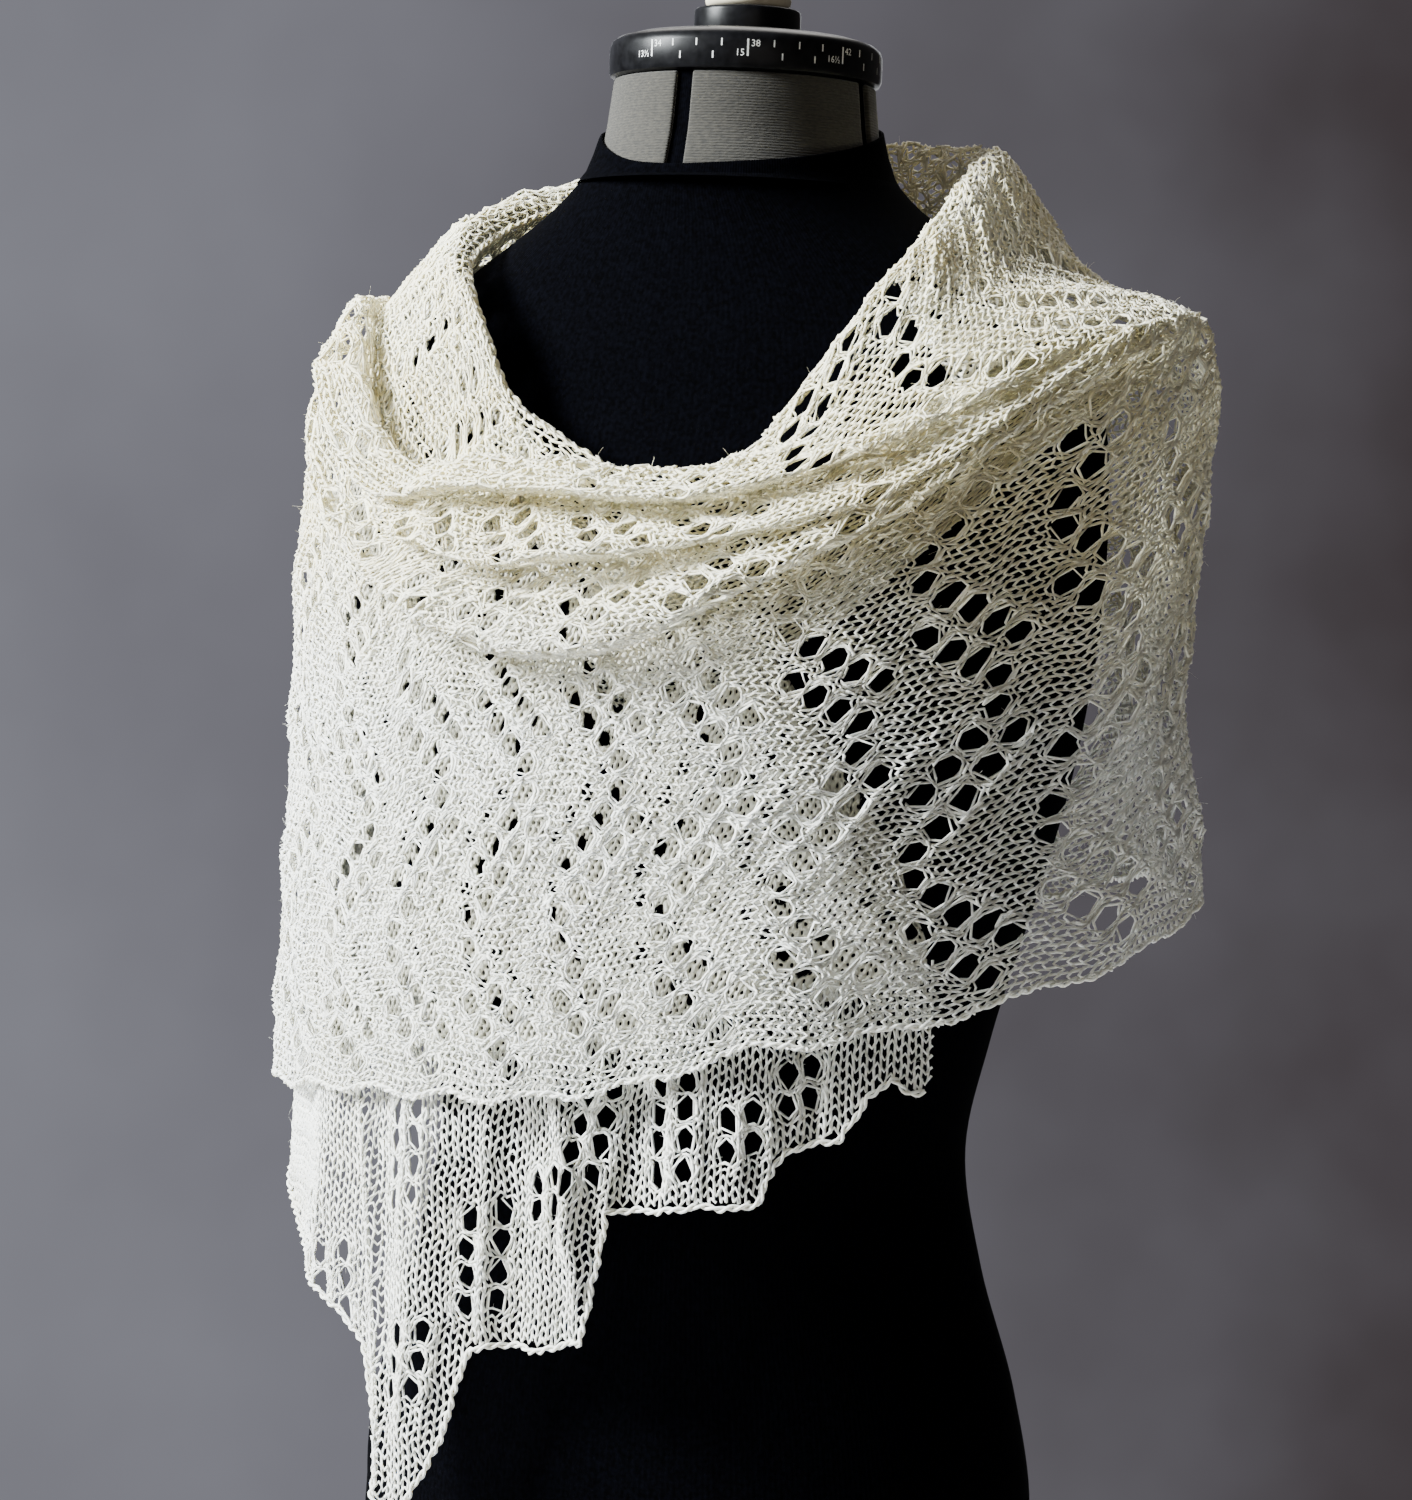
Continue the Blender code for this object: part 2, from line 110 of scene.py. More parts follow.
class Paint:  # a Principled material and the nodes that vary it
    def __init__(self, name, **constants):
        self.material = bpy.data.materials.new(name)
        self.material.use_nodes = True
        self.tree = self.material.node_tree
        self.shader = self.tree.nodes["Principled BSDF"]
        for socket, value in constants.items():
            self.shader.inputs[socket.replace("_", " ")].default_value = value

    def node(self, kind, settings=None, inputs=None, output=0):
        made = self.tree.nodes.new(kind)
        for name, value in (settings or {}).items():
            if name == "stops":
                for stop, (place, colour) in zip(made.color_ramp.elements, value):
                    stop.position, stop.color = place, (*colour, 1)
            else:
                setattr(made, name, value)
        for socket, value in (inputs or {}).items():
            if isinstance(value, Wire):
                self.tree.links.new(value.socket, made.inputs[socket])
            else:
                made.inputs[socket].default_value = value
        return Wire(self, made.outputs[output])

    def feed(self, socket, wire):
        self.tree.links.new(wire.socket, self.shader.inputs[socket])

    def place(self, kind="Object"):
        return self.node("ShaderNodeTexCoord", output=kind)

    def part(self, where, axis):  # one of a place's three numbers
        return self.node("ShaderNodeSeparateXYZ", inputs={0: where}, output=axis)

    def noise(self, scale, detail=2.0, where=None):
        inputs = {"Vector": where or self.place(), "Scale": scale, "Detail": detail}
        return self.node("ShaderNodeTexNoise", inputs=inputs, output="Fac")

    def ramp(self, factor, *stops):
        return self.node("ShaderNodeValToRGB", {"stops": stops}, {"Fac": factor}, "Color")

    def tint(self, factor, *stops):
        self.feed("Base Color", self.ramp(factor, *stops))

    def raised(self, height, strength, distance):
        inputs = {"Height": height, "Strength": strength, "Distance": distance}
        self.feed("Normal", self.node("ShaderNodeBump", inputs=inputs, output="Normal"))


def yarnPaint():
    paint = Paint(
        "creamLaceYarn", Roughness=0.74, Sheen_Weight=0.45, Sheen_Roughness=0.45,
        Subsurface_Weight=0.38, Subsurface_Radius=(1.0, 0.9, 0.7), Subsurface_Scale=0.003,
    )
    tone = paint.noise(22, 2.0) * 0.5 + paint.noise(700, 3.0) * 0.5
    cool = paint.ramp(tone, (0.3, (0.82, 0.80, 0.66)), (0.6, (0.96, 0.96, 0.87)))
    warm = paint.ramp(tone, (0.3, (0.80, 0.68, 0.37)), (0.6, (0.99, 0.93, 0.65)))
    # painted light: a warm tint, stronger higher up, stands in for the light that bounces between the folds of the
    # rolls, shoulders and collar
    paintedBounceWarmth = ((paint.part(paint.place(), 2) - 0.69) * 12.0).clamped()  # the rolls, shoulders and collar
    paint.feed("Base Color", paint.node("ShaderNodeMixRGB", inputs={"Fac": paintedBounceWarmth, 1: cool, 2: warm}))
    paint.raised(paint.noise(2300, 2.0), 0.6, 0.0005)
    return paint.material


def jerseyPaint():
    paint = Paint("blackJersey", Roughness=1.0, Specular_IOR_Level=0.015)
    ribs = (paint.part(paint.place("UV"), 0) * 2400.0).calc("SINE")
    cloth = paint.noise(500, 3.0)
    paint.tint(cloth, (0.35, (0.0002, 0.0002, 0.0004)), (0.7, (0.0008, 0.0009, 0.0018)))
    paint.raised(ribs * 0.2 + cloth, 0.3, 0.0005)
    return paint.material


def neckPaint():  # a fine twill: short slanting dashes in close rows
    paint = Paint("beigeNeckCover", Roughness=0.95, Sheen_Weight=0.2)
    place = paint.node("ShaderNodeMapping", inputs={"Vector": paint.place(), "Scale": (420, 420, 1500)})
    dashes = paint.noise(1.0, 1.5, place)
    rows = (paint.part(paint.place(), 2) * 5200.0).calc("SINE")
    paint.tint(dashes + rows * 0.05, (0.3, (0.0105, 0.0092, 0.0066)), (0.68, (0.031, 0.0275, 0.020)))
    paint.raised(dashes + rows * 0.2, 0.6, 0.0005)
    return paint.material


def plasticPaint(name, dark, light, roughness):
    paint = Paint(name, Specular_IOR_Level=0.12)
    wear = paint.noise(240, 4.0)
    paint.tint(wear, (0.35, dark), (0.75, light))
    paint.feed("Roughness", (wear * 0.16 + (roughness - 0.08)).clamped())
    return paint.material


def steelPaint():
    paint = Paint("brushedSteel", Metallic=1.0)
    stretch = paint.node("ShaderNodeMapping", inputs={"Vector": paint.place(), "Scale": (900, 900, 12)})
    grain = paint.noise(1.0, 3.0, stretch)
    paint.tint(grain, (0.3, (0.42, 0.42, 0.43)), (0.7, (0.62, 0.62, 0.62)))
    paint.feed("Roughness", grain * 0.25 + 0.22)
    return paint.material


# Curves and places

def smoothStep(t, start, end, out, into):  # from start to end, leaving and arriving at the given slopes
    return (
        start * (2 * t**3 - 3 * t**2 + 1)
        + end * (3 * t**2 - 2 * t**3)
        + out * (t**3 - 2 * t**2 + t)
        + into * (t**3 - t**2)
    )


def smoothCurve(x, stations, values):
    slopes = np.gradient(values, stations)
    i = np.clip(np.searchsorted(stations, x) - 1, 0, len(stations) - 2)
    step = stations[i + 1] - stations[i]
    t = np.clip((x - stations[i]) / step, 0, 1)
    return smoothStep(t, values[i], values[i + 1], slopes[i] * step, slopes[i + 1] * step)


def bump(distance):
    return np.exp(-(distance**2))


def unit(vectors):
    return vectors / np.maximum(np.linalg.norm(vectors, axis=-1), 1e-12)[..., None]


def runAlong(path):  # how far each of a path's points is from its start
    steps = np.linalg.norm(np.diff(path, axis=-2), axis=-1)
    return np.concatenate([np.zeros_like(steps[..., :1]), steps.cumsum(-1)], -1)


def pathAt(path, run, where):
    return np.stack([np.interp(where, run, path[:, k]) for k in range(3)], -1)


def roundAxis(radius, turn, height):  # places from a radius, an angle from the front and a height
    return np.stack(np.broadcast_arrays(radius * np.sin(turn), -radius * np.cos(turn), height), -1)


# The wound cloth's surface: its solids' sections and folds, with a closer left shoulder and fuller rolls

sectionColumns = (
    "azimuth", "edgeR", "edgeZ", "crestR", "crestZ", "slopeR", "slopeZ",
    "browR", "browZ", "footZ", "hemZ", "flare", "drum",
)
wound = {
    "drumCentre": (6 * mm, 6 * mm),
    "innerDrum": (201 * mm, 147 * mm),
    "outerDrum": (209 * mm, 155 * mm),
    "droop": 0.45,
    "fullBand": 72 * mm,
    "seam": 117.0,  # azimuth at which courses are counted from, on the left shoulder
    "hemWave": (16.9, 1.8 * mm),  # degrees from one arrowhead to the next, and how far each bends the hem
    # the shoulder sinks in under its round and swells above: azimuth and half width in degrees, then
    # height, half height and lift in mm
    "swells": ((110, 16, 712, 42, -11), (110, 16, 838, 26, 7)),
}
leftShoulder = {  # where the two stretches meet, so both have these
    "sections": (
        (105, 92, 911, 113, 941, 156, 890, 196, 874, 850, 622, 4, 0.4),
        (120, 91, 911, 112, 945, 152, 889, 190, 869, 836, 626, 2, 0.4),
        (140, 80, 918, 99, 949, 135, 896, 174, 856, 815, 612, 2, 0.4),
    ),
    "drape": (110, 15, -2, -4),
}
wrapShape = {
    "sections": (
        (-150, 149, 862, 151, 864, 155, 857, 161, 845, 778, 546, 3, 1),
        (-130, 157, 865, 159, 867, 164, 860, 172, 845, 776, 536, 2, 1),
        (-105, 165, 869, 167, 871, 173, 862, 181, 845, 772, 522, 2, 1),
        (-80, 163, 865, 167, 872, 174, 864, 182, 846, 772, 516, 3, 1),
        (-64, 159, 846, 165, 864, 173, 859, 179, 843, 770, 519, 2, 1),
        (-52, 156, 806, 162, 828, 168, 826, 172, 814, 760, 523, 2, 1),
        (-40, 146, 774, 150, 797, 157, 799, 163, 788, 740, 527, 2, 1),
        (-20, 134, 784, 138, 799, 143, 799, 149, 791, 717, 531, 1, 1),
        (0, 132, 783, 134, 798, 139, 798, 147, 791, 712, 536, 0, 1),
        (20, 128, 784, 132, 797, 140, 797, 151, 790, 717, 549, 0, 1),
        (32, 122, 804, 128, 811, 140, 806, 158, 797, 732, 563, 1, 1),
        (45, 119, 845, 127, 848, 144, 830, 168, 811, 757, 570, 2, 1),
        (60, 118, 883, 128, 888, 151, 864, 185, 836, 799, 581, 2, 0.9),
        (75, 106, 903, 119, 910, 151, 882, 196, 859, 838, 598, 3, 0.7),
        (90, 97, 910, 114, 929, 155, 889, 202, 874, 855, 612, 5, 0.5),
        *leftShoulder["sections"],
    ),
    # rolls and the valleys between them: half width, then azimuth, place between brow (0) and foot (1), lift
    "rolls": (
        (0.10, (
            (-75, 0.02, 0), (-62, 0.0, 8), (-40, -0.02, 12), (0, -0.03, 13), (60, 0.03, 12), (97, 0.05, 0),
        )),
        (0.06, (
            (-40, 0.16, 0), (-26, 0.18, -11), (11, 0.20, -12), (50, 0.22, -11), (80, 0.27, -7), (94, 0.27, 0),
        )),
        (0.08, (
            (-36, 0.30, 0), (-30, 0.33, 15), (-21, 0.41, 14), (-14, 0.44, 14), (2, 0.36, 15), (20, 0.29, 15),
            (36, 0.33, 14), (50, 0.43, 13), (75, 0.50, 9), (92, 0.50, 0),
        )),
        (0.06, ((-30, 0.50, 0), (-20, 0.56, -10), (12, 0.50, -10), (25, 0.42, -8), (34, 0.42, 0))),
        (0.14, (
            (-70, 0.20, 0), (-62, 0.42, 7), (-55, 0.55, 13), (-47, 0.60, 17), (-32, 0.69, 19),
            (-19, 0.73, 19), (-3, 0.78, 19), (12, 0.71, 18), (29, 0.56, 16), (43, 0.58, 15),
            (57, 0.66, 14), (75, 0.78, 12), (90, 0.80, 8), (97, 0.80, 0),
        )),
        (0.06, (
            (-62, 0.58, 0), (-47, 0.77, -6), (-32, 0.86, -7), (-3, 0.95, -7), (12, 0.88, -7), (29, 0.73, -7),
            (43, 0.75, -7), (57, 0.83, -7), (75, 0.95, -6), (90, 0.97, 0),
        )),
        (0.22, ((-150, 0.30, 5), (-84, 0.30, 5), (-76, 0.30, 0))),
    ),
    # upright folds: azimuth, half width in degrees, lift at the band's foot and at the hem
    "drapes": (
        (-118, 7, 2, 6), (-94, 6, 2, 5), (-70, 5, 1, 4), (-8, 10, 0, 3),
        (38, 9, 1, 4), (78, 7, 3, 6), (101, 6, 2, 9), leftShoulder["drape"],
    ),
}
innerShape = {
    "sections": (
        *leftShoulder["sections"],
        (165, 61.8, 944, 80, 948, 112, 908, 149, 848, 800, 592, 2, 0.3),
        (190, 61.8, 942, 80, 945, 112, 907, 147, 846, 796, 578, 2, 0.1),
        (215, 68, 940, 88, 941, 120, 904, 155, 842, 792, 566, 1, 0),
        (235, 72, 933, 98, 935, 130, 900, 166, 842, 788, 552, 0, 0),
        (250, 80, 925, 104, 929, 141, 895, 172, 848, 784, 530, 0, 0),
        (270, 92, 914, 112, 921, 148, 890, 177, 847, 780, 500, 0, 0),
        (290, 107, 899, 122, 905, 146, 881, 168, 846, 776, 452, 0, 0),
        (310, 118, 880, 126, 883, 136, 857, 148, 818, 760, 411, 0, 0),
        (322, 120, 862, 125, 865, 129, 842, 136, 808, 742, 372, 0, 0),
        (335, 118, 827, 122, 829, 126, 818, 131, 798, 722, 380, 0, 0),
        (350, 116, 809, 119, 811, 122, 804, 127, 790, 716, 430, 0, 0),
        (370, 117, 786, 119, 788, 123, 782, 129, 770, 716, 455, 0, 0),
        (390, 135, 744, 136, 746, 138, 741, 142, 728, 692, 490, 0, 0),
        (405, 145, 692, 146, 694, 148, 689, 152, 677, 650, 528, 0, 0),
        (417, 156, 642, 157, 644, 160, 639, 164, 632, 612, 556, 0, 0),
    ),
    "rolls": (),
    "drapes": (
        leftShoulder["drape"], (134, 6, 3, 7), (152, 7, 2, 6), (173, 6, 3, 8), (196, 7, 2, 6),
        (219, 6, 2, 7), (240, 6, 1, 4), (283, 7, 0, 6), (308, 6, 0, 7), (334, 7, 0, 9), (352, 5, 0, -7),
        (375, 4, 0, -6), (391, 6, 0, 5), (403, 3, 0, -4),
    ),
}
# lower outline of the hanging end: azimuth and height
endOutline = (
    (250, 530), (270, 500), (288, 462), (298, 446), (305, 439), (314, 427), (320, 415), (322.6, 396),
    (325, 376), (327.5, 358), (331, 347), (334.5, 351), (338.7, 370), (341.3, 388), (343.9, 415),
    (345.4, 425), (352, 428), (360, 429), (368, 436), (369.4, 458), (370.2, 474), (371, 490), (377, 492),
    (387, 497), (394, 499), (396, 502), (397.4, 515), (400, 523), (406.6, 527), (408, 535), (410, 546),
    (413, 553), (415, 548), (418, 549),
)


def drumRadius(azimuth, halfWidth, halfDepth):
    s, c = np.sin(np.radians(azimuth)), -np.cos(np.radians(azimuth))
    x, y = wound["drumCentre"]
    a = (s / halfWidth) ** 2 + (c / halfDepth) ** 2
    b = -2 * (s * x / halfWidth**2 + c * y / halfDepth**2)
    k = (x / halfWidth) ** 2 + (y / halfDepth) ** 2 - 1
    return (-b + np.sqrt(b * b - 4 * a * k)) / (2 * a)


class Cloth:  # a point for each azimuth and each level: 0 edge, 1 crest, 2 slope, 3 brow, 4 foot, 6 hem
    def __init__(self, shape):
        rows = np.array(shape["sections"], float).T
        self.sections = dict(zip(sectionColumns, rows))
        self.rolls, self.drapes = shape["rolls"], shape["drapes"]

    def column(self, name, azimuth, unit=mm):
        return smoothCurve(azimuth, self.sections["azimuth"], self.sections[name]) * unit

    def controls(self, azimuth):
        inner, outer = drumRadius(azimuth, *wound["innerDrum"]), drumRadius(azimuth, *wound["outerDrum"])
        drum = inner + (outer - inner) * self.column("drum", azimuth, 1)
        flare = self.column("flare", azimuth)
        foot, hem = self.column("footZ", azimuth), self.column("hemZ", azimuth)
        pairs = [
            (self.column(f"{name}R", azimuth), self.column(f"{name}Z", azimuth))
            for name in ("edge", "crest", "slope", "brow")
        ]
        pairs += [(drum, foot), (drum + 0.3 * flare, (foot + hem) / 2), (drum + flare, hem)]
        return np.array([np.stack(pair, -1) for pair in pairs])

    def profile(self, azimuth, level):
        points = self.controls(azimuth)
        i = np.clip(level.astype(int), 0, 5)
        t = (level - i)[:, None]
        each = np.arange(len(azimuth))
        before, here = points[np.maximum(i - 1, 0), each], points[i, each]
        after, beyond = points[i + 1, each], points[np.minimum(i + 2, 6), each]
        return smoothStep(t, here, after, (after - before) / 2, (beyond - here) / 2)

    def rollLift(self, azimuth, level):
        band = self.column("browZ", azimuth) - self.column("footZ", azimuth)
        size = np.clip(band / wound["fullBand"], 0.3, 1)
        lift = np.zeros_like(azimuth)
        for half, path in self.rolls:
            stations, places, heights = np.array(path, float).T
            at = 3 + smoothCurve(azimuth, stations, places)
            high = np.interp(azimuth, stations, heights, 0.0, 0.0)
            lift += high * mm * size * bump((level - at) / half)
        return lift

    def drapeLift(self, azimuth, level):
        down = np.clip((level - 3.6) / 2.4, 0, 1)
        lift = np.zeros_like(azimuth)
        for place, half, top, hem in self.drapes:
            high = (top + (hem - top) * down) * np.clip((level - 2.4) / 1.2, 0, 1)
            lift += high * mm * bump((azimuth - place) / half)
        return lift

    def points(self, azimuth, level):
        place = self.profile(azimuth, level)
        wave = np.cos(np.radians(azimuth - wound["seam"]) * 360 / wound["hemWave"][0])
        place[:, 1] += wound["hemWave"][1] * wave * np.clip((level - 4.8) / 1.2, 0, 1) ** 2
        step = 0.02
        along = self.profile(azimuth, np.minimum(level + step, 6))
        along -= self.profile(azimuth, np.maximum(level - step, 0))
        along = unit(along)
        outward = np.stack([-along[:, 1], along[:, 0]], -1)
        roll = self.rollLift(azimuth, level)
        place = place + outward * (roll + self.drapeLift(azimuth, level))[:, None]
        place[:, 1] -= wound["droop"] * roll
        for middle, half, height, halfHeight, lift in wound["swells"]:
            near = bump((azimuth - middle) / half) * bump((place[:, 1] / mm - height) / halfHeight)
            place[:, 0] += lift * mm * near
        return roundAxis(place[:, 0], np.radians(azimuth), place[:, 1])


# Fabric on that surface: a fine grid of places, read by course along the stole and stitch across it

gridPerCourse = 2
gridPerStitch = 4


class Fabric:
    def __init__(self, grid, first, perCourse):
        self.grid, self.first, self.perCourse = grid, first, perCourse
        normal = unit(np.cross(np.gradient(grid, axis=1), np.gradient(grid, axis=0)))
        self.normal = normal * np.sign((normal[..., :2] * grid[..., :2]).sum())  # outwards

    def read(self, table, u, v):
        a = np.clip((u - self.first) * self.perCourse, 0, table.shape[0] - 1.001)
        b = np.clip(v * gridPerStitch, 0, table.shape[1] - 1.001)
        i, j = a.astype(int), b.astype(int)
        s, t = (a - i)[..., None], (b - j)[..., None]
        top = table[i, j] * (1 - t) + table[i, j + 1] * t
        low = table[i + 1, j] * (1 - t) + table[i + 1, j + 1] * t
        return top * (1 - s) + low * s

    def place(self, u, v, lift=0.0):
        u, v = np.broadcast_arrays(np.asarray(u, float), np.asarray(v, float))
        lift = np.broadcast_to(np.asarray(lift, float), u.shape)
        return self.read(self.grid, u, v) + self.read(self.normal, u, v) * lift[..., None]


def evenAcross(raw, stitches):  # shares each row of raw places out evenly among the stitches
    share = np.linspace(0, 1, stitches * gridPerStitch + 1)
    return np.array([pathAt(row, run, share * run[-1]) for row, run in zip(raw, runAlong(raw))])


def woundFabric(cloth, first, last, stitches, levels=(0, 6)):
    courses = np.linspace(first, last, round(last - first) * gridPerCourse + 1)
    azimuth, level = np.meshgrid(azimuthOf(courses), np.linspace(*levels, 420), indexing="ij")
    raw = cloth.points(azimuth.ravel(), level.ravel()).reshape(*azimuth.shape, 3)
    return Fabric(evenAcross(raw, stitches), first, gridPerCourse)


# Knitting

knit = {
    "gaugeAcross": 5.6 * mm,  # a stitch's width
    "gaugeAlong": 4.5 * mm,  # a course's height
    "samples": 6,  # points of the yarn's path in a stitch
    "waist": 0.7,  # how far a loop's legs lean together
    "reach": 0.92,  # half height of a loop, in courses
    "depth": 0.42 * mm,  # how far the loops pass before and behind each other
    "set": -0.8 * mm,  # the net's middle, below the cloth's outer surface
    "unevenness": 0.2 * mm,
    "swell": 0.12,  # how much the yarn thickens and thins along a course, as a share
    "slub": 0.05,  # and from one point to the next
    "yarnRadius": 0.70 * mm,
    "yarnSides": 3,
}
fuzz = {  # fine hairs that stand off the yarn
    "perStitch": 0.19,
    "length": (1.5 * mm, 4.5 * mm),
    "radius": 0.04 * mm,
    "outward": 0.35,
    "bend": 0.9,
}
lace = {
    "repeatAlong": 12.5,  # courses from one arrowhead to the next
    "repeatAcross": 20,  # stitches from one band of arrowheads to the next
    "apexFromHem": 1.0,
    "phase": 2.7,
    # the two lines of eyelets in each arm: courses and stitches from the apex to the first one, and how many
    "lines": ((0.0, 1.0, 4), (-1.7, 3.3, 5)),
    "stepAlong": 2.2,  # from one eyelet to the next
    "stepAcross": 1.45,
    "radius": 4.4 * mm,
    "spread": 9.0 * mm,  # how far round it an eyelet presses the yarn together
    "window": (4, 3.2),  # courses and stitches to each side that it reaches at most
    "sweeps": 4,
    "ease": 0.9,  # share of its way that the yarn is pushed in a sweep
    "ribs": ((5.4, 2.7), (3.9, 2.2), (10.1, 1.2)),  # twisted stitches: courses past the apex, lift in mm
    "ribHalf": 0.62,
    "fieldLift": 1.2,  # the plain stitches before an arrowhead swell out, in mm
}


def slowDrift(u, v):  # how hand-knitted stitches wander, in courses and stitches
    return (
        0.17 * np.sin(0.9 * v + 1.3 * np.sin(0.21 * u)) + 0.10 * np.sin(0.47 * u + 0.8 * v),
        0.15 * np.sin(0.8 * u + 2.1 * np.sin(0.33 * v)) + 0.08 * np.sin(1.7 * u - 0.6 * v),
    )


def fromApex(u, v, stitches):  # courses past the nearest arrowhead's line, and stitches off its axis
    away = (stitches - lace["apexFromHem"] - v) % lace["repeatAcross"]
    away = np.minimum(away, lace["repeatAcross"] - away)
    lean = lace["stepAlong"] / lace["stepAcross"] * (away - 1.0)
    return (u - lace["phase"] - lean) % lace["repeatAlong"], away


def laceRelief(u, v, stitches):  # how far ribs and plain fields stand out, and how much thicker ribs are
    past, away = fromApex(u, v, stitches)
    arm = bump((away - 5.2) / 4.4)
    ribs = sum(lift * bump((past - place) / lace["ribHalf"]) for place, lift in lace["ribs"]) * arm
    field = lace["fieldLift"] * np.sin(math.pi * np.clip((past - 0.6) / 2.6, 0, 1)) ** 2
    return (ribs + field) * mm, 1 + 0.11 * ribs


def chevronEyelets(first, last, stitches):  # arrowheads that point along the stole, line in line
    centres = []
    repeats = range(math.floor(first / lace["repeatAlong"]) - 1, math.ceil(last / lace["repeatAlong"]) + 2)
    bands = range(int(stitches / lace["repeatAcross"]) + 2)
    for repeat, band, side in ((r, b, s) for r in repeats for b in bands for s in (-1, 1)):
        apexCourse = lace["phase"] + repeat * lace["repeatAlong"]
        apexStitch = stitches - lace["apexFromHem"] - band * lace["repeatAcross"]
        for along, across, holes in lace["lines"]:
            for hole in range(holes):
                u = apexCourse + along + lace["stepAlong"] * hole
                v = apexStitch + side * (across + lace["stepAcross"] * hole)
                if first - 3 < u < last + 3 and 1.7 < v < stitches - 1.5:
                    centres.append((u, v, lace["radius"] * (1.04 - 0.05 * abs(hole - 2))))
    return centres


def openEyelets(path, centres, firstCourse, gauge, samples):  # leads the yarn round every eyelet
    along, across = gauge
    courses, stitches = lace["window"]
    original = path.copy()
    windows = []
    for u, v, radius in centres:
        centre = np.array([u * along, v * across])
        row = int(u - firstCourse)
        rows = slice(max(0, row - courses), max(0, row + courses + 1))
        ends = slice(max(0, int((v - stitches) * samples)), int((v + stitches) * samples) + 2)
        windows.append((centre, radius, rows, ends))
        offset = original[rows, ends] - centre
        distance = np.maximum(np.linalg.norm(offset, axis=2), 1e-6)[..., None]
        path[rows, ends] += offset / distance * np.clip(1 - distance / lace["spread"], 0, None) * radius
    for sweep in range(lace["sweeps"]):
        for centre, radius, rows, ends in windows:
            part = path[rows, ends]
            first, step = part[:, :-1], part[:, 1:] - part[:, :-1]
            share = ((centre - first) * step).sum(2) / np.maximum((step**2).sum(2), 1e-12)
            share = np.clip(share, 0, 1)[..., None]
            offset = first + step * share - centre
            distance = np.maximum(np.linalg.norm(offset, axis=2), 1e-6)[..., None]
            push = offset / distance * np.clip(radius - distance, 0, None) * lace["ease"]
            part[:, :-1] += push * (1 - share)
            part[:, 1:] += push * share
    return path


def knitNet(
    fabric, first, last, stitches, eyelets=(), keep=None, gathered=None, seed=1, gauge=None, relief=None
):  # a row for each course: the yarn's places, which of them show, and how thick it is
    along, across = gauge or (knit["gaugeAlong"], knit["gaugeAcross"])
    samples = knit["samples"]
    turns = np.arange(stitches * samples + 1) * (2 * math.pi / samples)
    turn, course = np.meshgrid(turns, np.arange(first, last, dtype=float))
    v = (turn + knit["waist"] * np.sin(2 * turn)) / (2 * math.pi)
    shown = np.ones(v.shape, bool)
    reach, middle = np.full(v.shape, knit["reach"]), course + 0.5
    if gathered is not None:  # near the neck every second course runs on alone, at twice the height
        within = gathered[:, None]
        share = np.clip((within - v) / 2 + 0.5, 0, 1)
        even = np.round(course) % 2 == 0
        reach = reach * (1 + share * even)
        middle = middle + 0.5 * share * even
        shown &= even | (v > within)
    u = middle - reach * np.cos(turn)
    drift = slowDrift(u, v)
    path = np.stack([(u + drift[0]) * along, (v + drift[1] * np.sin(math.pi * v / stitches)) * across], -1)
    random = np.random.default_rng(seed)
    path += random.normal(0, knit["unevenness"], path.shape)
    path = openEyelets(path, eyelets, first, (along, across), samples)
    u, v = path[..., 0] / along, np.clip(path[..., 1] / across, 0.0, stitches)
    if keep is not None:
        shown &= keep(u, v)
    lift, thick = relief(u, v, stitches) if relief else (0.0, np.ones(u.shape))
    swell = knit["swell"] * np.sin(random.uniform(0, 6.3, (len(u), 1)) + turn * 0.37)
    thick = thick * (1 + swell) + random.normal(0, knit["slub"], u.shape)
    return fabric.place(u, v, lift + knit["set"] + knit["depth"] * np.cos(2 * turn)), shown, thick


def pathMesh(name, points, edges, thick):  # what layYarn lays its yarn along
    mesh = bpy.data.meshes.new(name)
    mesh.from_pydata(points, edges, [])
    mesh.attributes.new("thickness", "FLOAT", "POINT").data.foreach_set("value", thick)
    return mesh


def netMesh(name, places, shown, thick):
    index = np.full(shown.shape, -1)
    index[shown] = np.arange(shown.sum())
    joined = shown[:, :-1] & shown[:, 1:]
    edges = np.stack([index[:, :-1][joined], index[:, 1:][joined]], -1)
    return pathMesh(name, places[shown].tolist(), edges.tolist(), thick[shown])


def linesMesh(name, lines):
    points, edges = [], []
    for line in lines:
        first = len(points)
        points += [tuple(p) for p in line]
        edges += [(first + i, first + i + 1) for i in range(len(line) - 1)]
    return pathMesh(name, points, edges, np.ones(len(points)))


def addHairs(name, net, finish, seed):
    places, shown = net[:2]
    random = np.random.default_rng(100 + seed)
    count = int(shown.sum() / knit["samples"] * fuzz["perStitch"])
    start = places[shown][random.integers(0, shown.sum(), count)]
    aim = unit(random.normal(0, 1, (count, 3)) + fuzz["outward"] * unit(start * (1, 1, 0)))
    length = random.uniform(*fuzz["length"], (count, 1))
    bend = random.uniform(-fuzz["bend"], fuzz["bend"], (count, 3)) * length
    lines = np.stack([start + aim * length * t + bend * t * t for t in (0, 0.5, 1)], 1)
    return layYarn(name + "Hairs", linesMesh(name, lines), fuzz["radius"], 3, finish)


